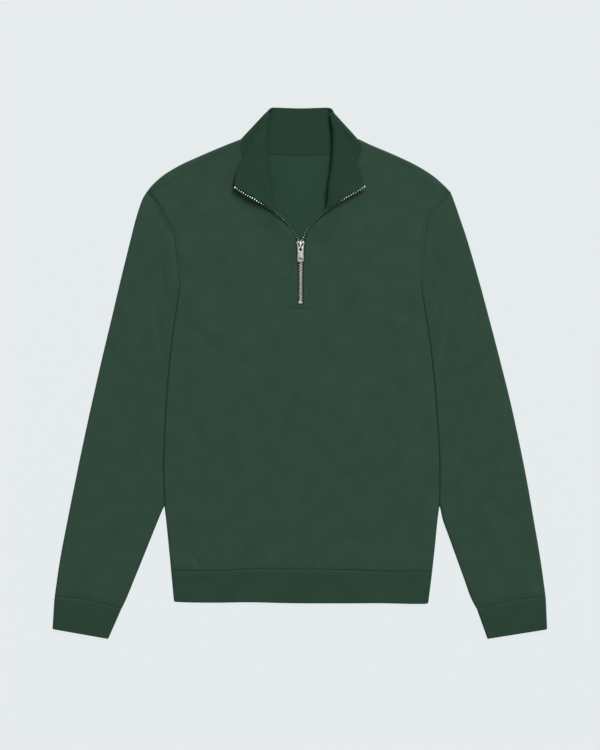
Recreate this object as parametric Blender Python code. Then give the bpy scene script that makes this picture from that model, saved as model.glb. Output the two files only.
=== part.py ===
"""Stand collar sweatshirt with a half zip, laid flat on its back.

X runs across the chest, Y from the hem up to the collar, Z out of the front.
The back rests on z = 0. Tables and sizes are in millimetres, and the meshes
are scaled to metres as they are made. Left is the side of -X.
"""

import math
from collections import namedtuple

import bmesh
import bpy
import numpy as np

MM = 0.001

# Cloth
CLOTH = 2.6           # thickness of the brushed sweatshirt cloth
RIB_CLOTH = 3.2       # thickness of the double rib of collar, cuffs and hem
LAID = 7.0            # height of front on back where both lie flat
RIB_LAID = 7.4        # the same for cuffs and hem band
ROLL = 3.8            # how far in from an edge the cloth starts to roll over
SEAM = 0.4            # gap between pieces at a seam
SIDE_GAP = 0.7        # gap between the body and the sleeve beside it
RIB_PITCH = 4.3
RIB_HEIGHT = 0.35

# Zip
TEETH_WIDE = 7.0      # closed row of teeth
TEETH_TOP = 8.0
TEETH_UNDER = 4.5
HALF_TEETH_WIDE = 3.4
HALF_TEETH_THICK = 2.6
TAPE_THICK = 0.8
SLIT_HALF = 4.2
SLIT_END = 103.8      # y of the slit's lower end
STOP_Y = 104.4        # y of the lower end of the closed teeth
STOP_LONG = 4.0       # length of the bottom stop
STOP_MORE = 0.3       # how far it stands out of the teeth on each side
SLIDER_LOW = 182.6
SLIDER_TOP = 199.0
PIVOT_Y = 188.7       # hinge of the pull tab, along X
PIVOT_Z = 9.9


def table(columns, *rows):
    """Rows with named columns. The first column is the one that is looked up."""
    kind = namedtuple("Row", columns)
    return [kind(*row) for row in rows]


# Half widths of the body from the hem seam up to the armpit
SIDES = table(
    "y left right",
    (-296, 194, 197.5),
    (-264, 197, 201),
    (-219, 201.5, 205.5),
    (-197, 204, 208),
    (-129, 205.5, 208.5),
    (-69, 203, 205),
    (-9, 199, 200.5),
    (51, 193, 193.5),
    (111, 184.5, 184.5),
    (132, 181.5, 181.5),
)
ARMPIT_Y = 132

# Half widths to the armhole seam, from the armpit up to the shoulder point
ARMHOLE = table(
    "y left right",
    (132, 181.5, 181.5),
    (166, 185, 184.5),
    (188.5, 188, 187),
    (206.5, 190.5, 188.5),
    (224.5, 197.5, 191),
    (241, 206, 198),
    (254.5, 214.5, 211),
    (264, 222, 219.5),
    (272, 231, 225.3),
)
SHOULDER_Y = 272

# Half widths of the silhouette from the shoulder point up to the neck
SHOULDER = table(
    "y left right",
    (272, 231, 225.3),
    (283, 222, 214.5),
    (298, 205, 197),
    (313, 180, 172.5),
    (328, 147, 141),
    (343, 111.5, 105.5),
    (350.1, 91.4, 90.4),
)
NECK_Y = 350.1

# How far the back wraps forward of the silhouette, from shoulder point to neck
WRAP = table(
    "share wide",
    (0, 2.2),
    (0.08, 6.5),
    (0.26, 13),
    (0.42, 12.5),
    (0.56, 8.5),
    (0.75, 6.5),
    (1, 6.5),
)

# Half widths to the outer edge of the sleeves, from the cuff seam up
SLEEVE_OUTER = table(
    "y left right",
    (-334, 368.6, 367.5),
    (-279, 360.6, 359.9),
    (-219, 349.2, 349.7),
    (-159, 337.2, 339.2),
    (-99, 324.8, 327.2),
    (-39, 311.7, 314),
    (21, 298, 299),
    (81, 283.7, 283.4),
    (141, 269.6, 267.3),
    (201, 254.9, 250),
    (231, 247.4, 240),
    (261, 237.6, 229.7),
    (272, 231, 225.3),
)

# Half widths to the inner edge of the sleeves, from the cuff seam up to the
# place where sleeve and body part
SLEEVE_INNER = table(
    "y left right",
    (-353, 268.5, 264.3),
    (-335, 260.1, 255),
    (-309, 249.5, 245.7),
    (-279, 237.3, 234.9),
    (-249, 225.3, 224.1),
    (-219, 213.2, 213.3),
    (-200, 205.3, 209.2),
)
PARTING_Y = -200
CUFF_SEAM_OUTER_Y = -334
CUFF_SEAM_INNER_Y = -353

# Ends of the cuffs' lower edges
CUFF_EDGE = table(
    "side outer_x outer_y inner_x inner_y",
    ("left", 371.7, -382.8, 288.2, -397.5),
    ("right", 369.7, -383.2, 280.2, -397.5),
)

# Seam and lower edge of the hem band along x
HEM = table(
    "x seam edge",
    (-198, -295.9, -339),
    (-186, -295.7, -342),
    (-130, -295.9, -343.2),
    (-76, -293.2, -342.6),
    (-10, -293.5, -344),
    (74, -294.4, -344.2),
    (119, -296.6, -344),
    (184, -296.5, -345),
    (198, -296.8, -343),
)
HEM_EDGE_LEFT = 189.6
HEM_EDGE_RIGHT = 191.4

# The collar's right half as sections from the neck seam to its free edge. Rolled
# goes from 0, straight by way of the roll point and raised there by bulge, to 1,
# in to the roll line and back out over itself. The left half is its mirror,
# moved out by the three last columns.
COLLAR = table(
    "seam_x seam_y seam_z roll_x roll_y edge_x edge_y edge_z rolled roll_at bulge"
    " seam_more roll_more edge_more",
    (0, 327.4, 1.6, 0, 362, 0, 396.6, 1.6, 0, 0.5, 0, 0, 0, 0),
    (30, 328, 1.6, 27, 362.5, 23, 397, 1.6, 0, 0.55, 0, 0, 0, 0),
    (55, 331.5, 1.6, 45, 364.3, 34, 397, 1.8, 0, 0.62, 0, 1, 1, 0),
    (77, 341.6, 1.7, 58.3, 369, 38.5, 396.3, 2.4, 0, 0.8, 0, 2, 4, 1),
    (85.6, 349.2, 4.8, 63.7, 372.1, 43.2, 395.6, 5.4, 0, 0.88, 0, 3.5, 5.5, 1),
    (87.3, 344.8, 8.0, 45, 387, 50, 388.6, 13.5, 0.7, 0.9, 0, 2, 2, 2),
    (89.8, 335.6, 8.2, 48.8, 362, 59.3, 370.9, 16.6, 1, 0.75, 0, -0.9, 1.5, 2),
    (83.3, 317.6, 8.3, 48.5, 335.6, 70.5, 346.1, 17.6, 1, 0.5, 0, 0, 2, 4),
    (66.8, 290.6, 9.2, 45.8, 302.6, 83.3, 316.1, 18.4, 1, 0.36, 0, 2, 2, 6),
    (51.8, 268.1, 10.9, 42, 278.6, 91.3, 295.4, 18.8, 1, 0.2, 0, 2, 2, 6),
    (36.2, 243.1, 12.4, 62.6, 267.6, 93.2, 284.2, 18.8, 0, 0.1, 4.9, 0, 1, 2),
)
COLLAR_FIRST_ON_FRONT = 5

# The right half of the zip, centre of the teeth from the bottom stop to the
# top end. turn is the way to the cloth: 0 level and outward, 90 straight down,
# 180 level and inward. tape_in and tape_out are measured that way, and drop is
# how far the tape lies below the teeth.
ZIP = table(
    "x y z turn tape_in tape_out drop",
    (1.75, 98.6, 6.25, 0, -1.5, 10.2, 2.6),
    (1.75, 172, 6.25, 0, -1.5, 10.2, 2.6),
    (1.75, 177, 6.25, 0, -1.3, 3.0, 2.6),
    (1.8, 185, 6.25, 0, 0.6, 3.2, 2.6),
    (2.8, 200.3, 6.3, 0, 2.2, 4.1, 2.5),
    (9.5, 214.1, 10, 25, 2.2, 4.1, 0.3),
    (19.6, 226.1, 13.8, 55, 2.2, 4.1, 0),
    (36.8, 242.2, 17.5, 90, 2.2, 4.1, 0),
    (50.3, 251.6, 20, 135, 2.2, 4.1, 0),
    (67.2, 262.6, 20.8, 168, 2.2, 4.1, 0),
    (84.3, 271.9, 20.2, 180, 2.2, 4.1, 0),
    (97, 280.1, 19.2, 180, 2.2, 4.1, 0),
)
CLOTH_AT = 4.7        # from the centre of the teeth to the cloth's edge
FIRST_OPEN = 4        # row of the table where the teeth part
CORNER = 7            # row of the table where front and collar meet

# Half width of the slit beside the closed teeth and the slider
SLIT = table(
    "y half",
    (SLIT_END, SLIT_HALF),
    (168, SLIT_HALF),
    (177, 5.2),
    (184, 6.6),
    (200.2, 7.4),
)

# How far the front is lifted off the flat along the neck seam and the zip
LIFT = table(
    "x y lift",
    (87, 347, 2.5),
    (90.8, 335.6, 2.5),
    (83.3, 317.6, 2.6),
    (66.8, 290.6, 3.5),
    (51.8, 268.1, 5.2),
    (37.8, 242, 4.4),
    (22, 224, 4.3),
    (12.5, 212, 2.2),
    (7.2, 199, 0.3),
)
LIFT_REACH = 21.0     # how far from that line the lift fades out

# The largest soft folds: a ridge from one end to the other, or a trough where
# its height is below zero
FOLDS = table(
    "x0 y0 x1 y1 wide height",
    (-170, -258, -152, -290, 6, -0.7),
    (-88, -272, -36, -205, 13, 0.8),
    (28, -15, 132, -118, 22, 0.7),
    (-55, -290, -50, -250, 9, 0.7),
    (-8, -290, -12, -255, 9, 0.6),
    (72, -290, 66, -246, 10, 0.7),
    (150, -288, 172, -232, 11, -0.6),
    (-176, 118, -96, 40, 15, 0.8),
    (-182, 150, -120, 132, 10, -0.6),
    (178, 120, 104, 52, 16, 0.8),
    (182, 152, 124, 140, 10, -0.6),
    (-20, 60, -60, -40, 24, 0.6),
    (-150, -60, -120, -160, 20, -0.5),
    (-246, 150, -300, -60, 11, 0.8),
    (-232, 40, -290, -190, 12, -0.6),
    (-262, -160, -320, -300, 10, 0.8),
    (-330, -210, -352, -322, 8, -0.6),
    (242, 152, 296, -50, 12, 0.8),
    (236, 20, 286, -180, 11, -0.6),
    (262, -170, 318, -306, 10, 0.8),
    (330, -200, 350, -318, 8, -0.6),
)


def smooth(rows, column, at):
    """A column's value at a place in the first column, on a smooth curve through the rows."""
    keys = [row[0] for row in rows]
    values = [getattr(row, column) for row in rows]
    at = min(max(at, keys[0]), keys[-1])
    i = min(max(int(np.searchsorted(keys, at)) - 1, 0), len(rows) - 2)
    span = keys[i + 1] - keys[i]
    t = (at - keys[i]) / span

    def slope(k):
        low = max(k - 1, 0)
        high = min(k + 1, len(rows) - 1)
        return (values[high] - values[low]) / (keys[high] - keys[low]) * span

    return (
        values[i] * (2 * t**3 - 3 * t**2 + 1)
        + slope(i) * (t**3 - 2 * t**2 + t)
        + values[i + 1] * (3 * t**2 - 2 * t**3)
        + slope(i + 1) * (t**3 - t**2)
    )


def through(points, shares):
    """Points at these shares of the way along a smooth curve through 3-D points."""
    points = np.asarray(points, float)
    steps = np.linalg.norm(np.diff(points, axis=0), axis=1)
    keys = np.concatenate([[0], np.cumsum(steps)])
    keys = keys / keys[-1]
    columns = table("key x y z", *[(k, *p) for k, p in zip(keys, points)])
    return np.array([[smooth(columns, axis, s) for axis in "xyz"] for s in shares])


def unit(vector):
    return vector / max(np.linalg.norm(vector), 1e-9)


def side_sign(side):
    return -1 if side == "left" else 1


def edge_point(rows, side, y):
    """Point of an outline at this height, in the plane."""
    return np.array([side_sign(side) * smooth(rows, side, y), y])


def shoulder_line(side):
    """The silhouette of a shoulder from the shoulder point to the neck."""
    heights = np.linspace(SHOULDER_Y, NECK_Y, 40)
    return np.array([edge_point(SHOULDER, side, y) for y in heights])


SHOULDER_LINES = {side: shoulder_line(side) for side in ("left", "right")}


def distance_to(line, point):
    """Distance from a point of the plane to a polyline, and the share of its length at the nearest place."""
    start, end = line[:-1], line[1:]
    run = end - start
    share = np.clip(((point - start) * run).sum(1) / (run * run).sum(1), 0, 1)
    near = start + run * share[:, None]
    gaps = np.linalg.norm(near - point, axis=1)
    best = int(gaps.argmin())
    return gaps[best], (best + share[best]) / len(run)


LIFT_LINE = np.array([(row.x, row.y) for row in LIFT])


def lift_at(x, y):
    """How far the neck and the zip lift the cloth off the flat here."""
    gap, share = distance_to(LIFT_LINE, np.array([abs(x), y]))
    place = share * (len(LIFT) - 1)
    i = min(int(place), len(LIFT) - 2)
    lift = LIFT[i].lift + (LIFT[i + 1].lift - LIFT[i].lift) * (place - i)
    return lift * math.exp(-((gap / LIFT_REACH) ** 2))


def folds_at(x, y):
    """Height of the soft folds here."""
    total = 0.0
    for fold in FOLDS:
        start = np.array([fold.x0, fold.y0])
        run = np.array([fold.x1, fold.y1]) - start
        share = float(np.dot([x - start[0], y - start[1]], run) / np.dot(run, run))
        inside = min(max(share, 0), 1)
        gap = np.linalg.norm(np.array([x, y]) - start - run * inside)
        total += fold.height * math.exp(-((gap / fold.wide) ** 2)) * (0.6 + 0.4 * math.sin(math.pi * inside))
    return total


def roll_in(distance, roll=ROLL):
    """0 at an edge and 1 where the roll has reached the flat."""
    left = 1 - min(distance, roll) / roll
    return math.sqrt(max(1 - left * left, 0))


def shoulder_gap(x, y):
    side = "left" if x < 0 else "right"
    return distance_to(SHOULDER_LINES[side], np.array([x, y]))[0]


def front_top(x, y):
    """Height of the front's outer face away from the side rolls."""
    height = LAID + lift_at(x, y)
    rolled = roll_in(shoulder_gap(x, y))
    return height / 2 * (1 + rolled) + folds_at(x, y) * rolled


def material(name, color, roughness, metallic=0.0):
    made = bpy.data.materials.new(name)
    made.use_nodes = True
    shader = made.node_tree.nodes["Principled BSDF"]
    shader.inputs["Base Color"].default_value = (*color, 1)
    shader.inputs["Roughness"].default_value = roughness
    shader.inputs["Metallic"].default_value = metallic
    return made


def finish(name, points, faces, finish_material):
    """A named object from points in millimetres and faces, with its normals out."""
    mesh = bpy.data.meshes.new(name)
    mesh.from_pydata([tuple(p * MM for p in point) for point in points], [], faces)
    mesh.materials.append(finish_material)
    form = bmesh.new()
    form.from_mesh(mesh)
    loose = [vertex for vertex in form.verts if not vertex.link_faces]
    bmesh.ops.delete(form, geom=loose, context="VERTS")
    bmesh.ops.recalc_face_normals(form, faces=form.faces)
    form.to_mesh(mesh)
    form.free()
    mesh.shade_smooth()
    mesh.set_sharp_from_angle(angle=math.radians(50))
    made = bpy.data.objects.new(name, mesh)
    bpy.context.scene.collection.objects.link(made)
    return made


def wall(name, outer, inner, finish_material, ring=False, kept=None, coarse=None):
    """A closed wall between an outer and an inner grid of points.

    kept(row, column) says which cells exist. coarse lists the outer column of
    each inner column, where the inner grid has fewer.
    """
    rows, columns = len(outer), len(outer[0])
    coarse = coarse or list(range(columns))
    inner_columns = len(coarse)
    points = [p for row in outer for p in row] + [p for row in inner for p in row]
    first_inner = rows * columns
    faces = []
    ends = []
    for k in range(inner_columns if ring else inner_columns - 1):
        after = (k + 1) % inner_columns
        low = coarse[k]
        high = coarse[after] if after else columns
        for i in range(rows - 1):
            if kept and not kept(i, low):
                continue
            run = [j % columns for j in range(low, high + 1)]
            for a, b in zip(run, run[1:]):
                here, above = i * columns, (i + 1) * columns
                faces.append((here + a, here + b, above + b, above + a))
            base = first_inner + i * inner_columns
            faces.append((base + k, base + inner_columns + k, base + inner_columns + after, base + after))
            ends.append((i, k, after, run))
    present = {(i, k) for i, k, _, _ in ends}
    for i, k, after, run in ends:
        for row, beyond in ((i, i - 1), (i + 1, i + 1)):
            if (beyond, k) not in present:
                rim = [row * columns + j for j in run]
                base = first_inner + row * inner_columns
                faces.append((*rim, base + after, base + k))
        for column, inner_column, beyond in (
            (run[0], k, (k - 1) % inner_columns if ring else k - 1),
            (run[-1], after, after if ring else k + 1),
        ):
            if (i, beyond) not in present:
                faces.append(
                    (
                        i * columns + column,
                        (i + 1) * columns + column,
                        first_inner + (i + 1) * inner_columns + inner_column,
                        first_inner + i * inner_columns + inner_column,
                    )
                )
    return finish(name, points, faces, finish_material)


# Sections of flattened tubes

ROLL_ANGLES = (-90, -45, 0, 45, 90)


def tube_section(path, height, thick, roll, top, low, ribs=False, squeeze=1.0):
    """Outer and inner points once round a flattened tube, and the coarse columns.

    path(share) is the section's line in the plane. top and low are the cells
    across the upper and the lower side between the rolls.
    """
    width = np.linalg.norm(path(1) - path(0))
    edge = roll / width
    stops = [(edge * (1 - math.cos(math.radians(a))), a, -1) for a in ROLL_ANGLES]
    stops += [(edge + (1 - 2 * edge) * k / top, 90, 0) for k in range(1, top)]
    stops += [(1 - edge * (1 - math.cos(math.radians(a))), a, 1) for a in reversed(ROLL_ANGLES)]
    stops += [(1 - edge - (1 - 2 * edge) * k / low, -90, 0) for k in range(1, low)]
    outer, inner, coarse = [], [], []
    first_top = len(ROLL_ANGLES)
    for index, (share, angle, end) in enumerate(stops):
        x, y = path(share)
        out = unit(path(min(share + 0.01, 1)) - path(max(share - 0.01, 0))) * end
        level, lying = math.sin(math.radians(angle)), math.cos(math.radians(angle))
        half = height / 2
        fold = folds_at(x, y) * max(level, 0) if not ribs else 0
        on_top = index - first_top + 1
        is_rib = ribs and 0 < on_top < top
        raised = RIB_HEIGHT if is_rib and on_top % 2 else 0
        outer.append((x, y, half + half * level * squeeze + raised + fold))
        if not is_rib or on_top % 4 == 0:
            coarse.append(index)
            inner.append(
                (
                    x - out[0] * thick * lying,
                    y - out[1] * thick * lying,
                    half + (half - thick) * level + fold,
                )
            )
    return outer, inner, coarse


def tube(name, sections, finish_material):
    """A flattened tube through sections that all have the same columns."""
    outer = [section[0] for section in sections]
    inner = [section[1] for section in sections]
    return wall(name, outer, inner, finish_material, ring=True, coarse=sections[0][2])


def rib_cells(width):
    """Cells across a ribbed side: two for each rib, in whole groups of four."""
    return 4 * round(width / RIB_PITCH / 2)


# Collar's middle surface

ROLL_STEPS = (-90, -45, 0, 45, 90)
COARSE_STEP = 4


def collar_section(row, side):
    """Points of the collar's middle surface from the neck seam to the free edge."""
    sign = side_sign(side)
    more = (row.seam_more, row.roll_more, row.edge_more) if side == "left" else (0, 0, 0)
    seam = np.array([sign * (row.seam_x + more[0]), row.seam_y, row.seam_z])
    edge = np.array([sign * (row.edge_x + more[2]), row.edge_y, row.edge_z])
    roll = np.array([sign * (row.roll_x + more[1]), row.roll_y, 0])
    step = min(0.035, row.roll_at / 4, (1 - row.roll_at) / 4)
    shares = [0] + [row.roll_at + step * k for k in (-2, -1, 0, 1, 2)]
    shares += [(1 + row.roll_at + 2 * step) / 2, 1]
    middle = roll + np.array([0, 0, (seam[2] + edge[2]) / 2 + row.bulge])
    bend = middle - (seam + edge) / 2
    straight = np.array([seam + (edge - seam) * s + bend * 4 * s * (1 - s) for s in shares])
    if not row.rolled:
        return straight
    radius = (edge[2] - seam[2]) / 2
    away = roll[:2] - (seam[:2] + edge[:2]) / 2
    away = np.array([*unit(away), 0])
    centre = roll + np.array([0, 0, (seam[2] + edge[2]) / 2]) - away * radius
    points = [seam]
    for angle in ROLL_STEPS:
        turn = math.radians(angle)
        points.append(centre + away * radius * math.cos(turn) + np.array([0, 0, radius * math.sin(turn)]))
    points.append((points[-1] + edge) / 2)
    points.append(edge)
    return straight * (1 - row.rolled) + np.array(points) * row.rolled


def collar_rows():
    """The collar's sections from the left zip edge round the back to the right one."""
    left = [collar_section(row, "left") for row in COLLAR[:0:-1]]
    right = [collar_section(row, "right") for row in COLLAR]
    return np.array(left + right)


def collar_middle(rows):
    """Share of the length at each section, and the surface in two columns for each rib."""
    steps = np.linalg.norm(np.diff(rows, axis=0), axis=2)[:, [0, -1]].mean(1)
    cells = rib_cells(steps.sum())
    keys = np.concatenate([[0], np.cumsum(steps)]) / steps.sum()
    lines = []
    for v in range(rows.shape[1]):
        columns = table("key x y z", *[(key, *point) for key, point in zip(keys, rows[:, v])])
        lines.append([[smooth(columns, axis, s) for axis in "xyz"] for s in np.linspace(0, 1, cells + 1)])
    return keys, np.array(lines), cells


COLLAR_KEYS, COLLAR_MIDDLE, COLLAR_CELLS = collar_middle(collar_rows())


# Body

ROLL_COLUMNS = (0, 1.0, 2.4, ROLL)
SEAM_ANGLE = 2.5      # the side seam lies this far above and below the roll's middle
SEAM_LYING = 0.99     # cosine above which a point of the roll is on the side seam
ARMHOLE_SPREAD = 0.8  # below 1, rows lie closer together towards the shoulder


def seam_y(x):
    return smooth(HEM, "seam", x)


def wrap_inward(side, share):
    """The way from the shoulder's silhouette into the body."""
    line = SHOULDER_LINES[side]
    place = share * (len(line) - 1)
    i = min(int(place), len(line) - 2)
    run = unit(line[i + 1] - line[i])
    across = np.array([run[1], -run[0]]) if side == "left" else np.array([-run[1], run[0]])
    turn = min(max((share - 0.8) / 0.2, 0), 1)
    return unit(across * (1 - turn) + np.array([0, -1]) * turn)


def shoulder_place(side, share):
    line = SHOULDER_LINES[side]
    place = share * (len(line) - 1)
    i = min(int(place), len(line) - 2)
    return line[i] + (line[i + 1] - line[i]) * (place - i)


def neck_seam(side, first, last, away):
    """Plane points along the collar's seam between two of its rows, moved off it by the seam's gap.

    away is 1 along the front and -1 along the back.
    """
    sign = side_sign(side)
    middle = len(COLLAR) - 1
    low, high = sorted((COLLAR_KEYS[middle + sign * first], COLLAR_KEYS[middle + sign * last]))
    shares = np.linspace(0, 1, COLLAR_CELLS + 1)
    line = COLLAR_MIDDLE[0][(shares >= low) & (shares <= high), :2]
    line = line if side == "right" else line[::-1]
    runs = np.gradient(line, axis=0)
    runs /= np.linalg.norm(runs, axis=1)[:, None]
    return line + np.stack([-runs[:, 1], runs[:, 0]], axis=1) * sign * away * SEAM


def resample(line, count):
    """A polyline's points spread evenly along it."""
    steps = np.linalg.norm(np.diff(line, axis=0), axis=1)
    keys = np.concatenate([[0], np.cumsum(steps)])
    at = np.linspace(0, keys[-1], count)
    return np.stack([np.interp(at, keys, line[:, axis]) for axis in range(2)], axis=1)


def patch(bottom, top, start, end, across, up):
    """Plane points between four edges: bottom and top run across, start and end run up."""
    u = np.asarray(across)[None, :, None]
    v = np.asarray(up)[:, None, None]
    return (
        (1 - v) * bottom[None]
        + v * top[None]
        + (1 - u) * start[:, None]
        + u * end[:, None]
        - (1 - u) * (1 - v) * bottom[0]
        - u * (1 - v) * bottom[-1]
        - (1 - u) * v * top[0]
        - u * v * top[-1]
    )


def side_edge(side, top_y, rows_below, rows_above):
    """The body's edge from the hem seam to the armpit and along the armhole."""
    low = seam_y(side_sign(side) * SIDES[0].left) + SEAM * 1.5
    below = [edge_point(SIDES, side, y) for y in np.linspace(low, ARMPIT_Y, rows_below)]
    shares = np.linspace(0, 1, rows_above + 1)[1:] ** ARMHOLE_SPREAD
    above = [edge_point(ARMHOLE, side, ARMPIT_Y + (top_y - ARMPIT_Y) * s) for s in shares]
    return np.array(below + above)


def roll_level(column, row, rows_below):
    """Sine and cosine of the side roll at a column counted from the edge."""
    if row >= rows_below or column >= len(ROLL_COLUMNS) - 1:
        return 1.0, 0.0
    angle = max(math.acos(1 - ROLL_COLUMNS[column] / ROLL), math.radians(SEAM_ANGLE))
    return math.sin(angle), math.cos(angle)


# Front

FRONT_BELOW = 12      # rows of points from the hem seam up to the armpit
SHOULDER_CELLS = 11   # cells from a side roll to the neck, alike on front and back
FRONT_NECK = 11       # rows of cells beside the collar
ARMPIT_SHARE = 0.7    # of the way up that is below the armpit



# How far up the slit each row of points above the armpit starts
SLIT_ROWS = (0, 0.26, 0.48, 0.57, 0.65, 0.72, 0.79, 0.86, 0.93, 1)
FRONT_ABOVE = len(SLIT_ROWS) - 1 + FRONT_NECK


def zip_rows(side):
    """Centre, way to the cloth, level way and named values at each row of the zip's table."""
    sign = side_sign(side)
    centres = np.array([(sign * row.x, row.y, row.z) for row in ZIP])
    runs = np.gradient(centres, axis=0)
    places = []
    for centre, run, row in zip(centres, runs, ZIP):
        level = unit(np.array([run[1], -run[0], 0]) * sign)
        turn = math.radians(row.turn)
        cross = level * math.cos(turn) - np.array([0, 0, math.sin(turn)])
        places.append((centre, cross, level, row))
    return places


def slit_edge(side):
    """Plane points of the front's edge beside the zip, from the slit's end to the neck seam."""
    sign = side_sign(side)
    points = [(sign * row.half, row.y, 0) for row in SLIT]
    for centre, cross, level, row in zip_rows(side)[FIRST_OPEN + 1 : CORNER + 1]:
        place = centre + cross * CLOTH_AT + level * math.sin(math.radians(row.turn))
        points.append((place[0], place[1], 0))
    return through(points, SLIT_ROWS)[:, :2]


def front_half(side):
    """Outer and inner points of half the front, columns from the side to the slit."""
    sign = side_sign(side)
    across = [d / SIDES[0].left for d in ROLL_COLUMNS]
    across += list(np.linspace(across[-1], 1, SHOULDER_CELLS + 1)[1:])
    up = list(np.linspace(0, ARMPIT_SHARE, FRONT_BELOW))
    up += list(np.linspace(ARMPIT_SHARE, 1, FRONT_ABOVE + 1)[1:])

    top = []
    for u in across:
        deep = smooth(WRAP, "wide", u) + SEAM
        top.append(shoulder_place(side, u) + wrap_inward(side, u) * deep)
    top = np.array(top)
    edge = side_edge(side, top[0][1], FRONT_BELOW, FRONT_ABOVE)
    edge[-1] = top[0]
    middle_low = np.array([sign * SLIT_HALF, seam_y(sign * SLIT_HALF) + SEAM])
    slit = slit_edge(side)
    neck = neck_seam(side, COLLAR_FIRST_ON_FRONT, len(COLLAR) - 1, 1)
    neck = neck[neck[:, 1] < top[-1][1] - 2]
    neck = np.vstack([top[-1:], neck[:-1], slit[-1:]])[::-1]
    middle = [middle_low + (slit[0] - middle_low) * t for t in np.linspace(0, 1, FRONT_BELOW)]
    middle = np.vstack([middle, slit[1:], resample(neck, FRONT_NECK + 1)[1:]])
    bottom = []
    for u in across:
        x = edge[0][0] + (middle_low[0] - edge[0][0]) * u
        bottom.append((x, seam_y(x) + SEAM * 1.5))
    plan = patch(np.array(bottom), top, edge, middle, across, up)

    outer, inner = [], []
    for i, row in enumerate(plan):
        outer.append([])
        inner.append([])
        for k, (x, y) in enumerate(row):
            level, lying = roll_level(k, i, FRONT_BELOW)
            z = front_top(x, y) * (1 + level) / 2
            outer[-1].append((x, y, z))
            deep = level * CLOTH if lying < SEAM_LYING else 0
            inner[-1].append((x - sign * lying * CLOTH, y, z - deep))
    return outer, inner


def build_front(cloth):
    left_outer, left_inner = front_half("left")
    right_outer, right_inner = front_half("right")
    outer = [a + b[::-1] for a, b in zip(left_outer, right_outer)]
    inner = [a + b[::-1] for a, b in zip(left_inner, right_inner)]
    middle = len(left_outer[0]) - 1

    def kept(row, column):
        return column != middle or row < FRONT_BELOW - 1

    return wall("front", outer, inner, cloth, kept=kept)


# Back

BACK_BELOW = 8
BACK_ABOVE = 6
BACK_NECK = 7         # cells across each half of the neck
SHOULDER_SHARE = 0.6  # of half the back's width that leads up to a shoulder
WRAP_ANGLES = (-45, 0, 45)


def back_half(side):
    """Outer and inner points of half the back, columns from the side to the middle."""
    sign = side_sign(side)
    across = [d / SIDES[0].left / SHOULDER_SHARE for d in ROLL_COLUMNS]
    across += list(np.linspace(across[-1], 1, SHOULDER_CELLS + 1)[1:])
    corner = len(across) - 1
    folds = [(shoulder_place(side, u), wrap_inward(side, u), u) for u in across]
    across = [u * SHOULDER_SHARE for u in across]
    across += list(np.linspace(SHOULDER_SHARE, 1, BACK_NECK + 1)[1:])
    up = list(np.linspace(0, ARMPIT_SHARE, BACK_BELOW))
    up += list(np.linspace(ARMPIT_SHARE, 1, BACK_ABOVE + 1)[1:])

    top = [place + inward * ROLL for place, inward, _ in folds]
    neck = np.vstack([neck_seam(side, 0, 3, -1.4), top[-1:]])[::-1]
    top += list(resample(neck, BACK_NECK + 1)[1:])
    top = np.array(top)
    edge = side_edge(side, top[0][1], BACK_BELOW, BACK_ABOVE)
    edge[-1] = top[0]
    low = np.array([0, seam_y(0) + SEAM])
    middle = np.array([low + (top[-1] - low) * v for v in up])
    bottom = []
    for u in across:
        x = edge[0][0] * (1 - u)
        bottom.append((x, seam_y(x) + SEAM * 1.5))
    plan = patch(np.array(bottom), top, edge, middle, across, up)

    outer, inner = [], []
    for i, row in enumerate(plan):
        outer.append([])
        inner.append([])
        for k, (x, y) in enumerate(row):
            level, lying = roll_level(k, i, BACK_BELOW)
            z = LAID * (1 - level) / 2
            outer[-1].append((x, y, z))
            deep = level * CLOTH if lying < SEAM_LYING else 0
            inner[-1].append((x - sign * lying * CLOTH, y, z + deep))

    for step in range(len(WRAP_ANGLES) + 2):
        outer_row, inner_row = [], []
        for k in range(len(across)):
            place, inward, share = folds[min(k, corner)]
            wide = smooth(WRAP, "wide", share)
            height = LAID + lift_at(*place)
            if step < len(WRAP_ANGLES):
                angle = math.radians(WRAP_ANGLES[step])
                deep = ROLL * (1 - math.cos(angle))
            else:
                deep = wide if step > len(WRAP_ANGLES) else min(ROLL, wide * 0.8)
                angle = math.acos(1 - min(deep, ROLL) / ROLL)
            x, y = place + inward * deep
            z = height / 2 * (1 + math.sin(angle))
            if deep >= ROLL:
                z = front_top(x, y)
            outer_row.append((x, y, z))
            lying = min(math.cos(angle) * CLOTH, wide - deep)
            inner_row.append((x + inward[0] * lying, y + inward[1] * lying, z - math.sin(angle) * CLOTH))
        outer.append(outer_row)
        inner.append(inner_row)
    return outer, inner, corner


def build_back(cloth):
    left_outer, left_inner, corner = back_half("left")
    right_outer, right_inner, _ = back_half("right")
    outer = [a + b[-2::-1] for a, b in zip(left_outer, right_outer)]
    inner = [a + b[-2::-1] for a, b in zip(left_inner, right_inner)]
    last = len(outer[0]) - 1
    flat_rows = BACK_BELOW + BACK_ABOVE - 1

    def kept(row, column):
        return row < flat_rows or column < corner or column >= last - corner

    return wall("back", outer, inner, cloth, kept=kept)


# Sleeves, cuffs and hem band

SLEEVE_SECTIONS = 16
SLEEVE_TOP = 9
SLEEVE_LOW = 7
BOW_SHARE = 0.3       # how far down the sleeve the armhole's curve has faded out


def sleeve_inner_point(side, y):
    if y < PARTING_Y:
        return edge_point(SLEEVE_INNER, side, y)
    beside = edge_point(SIDES, side, y)
    return beside + np.array([side_sign(side) * SIDE_GAP, 0])


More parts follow.
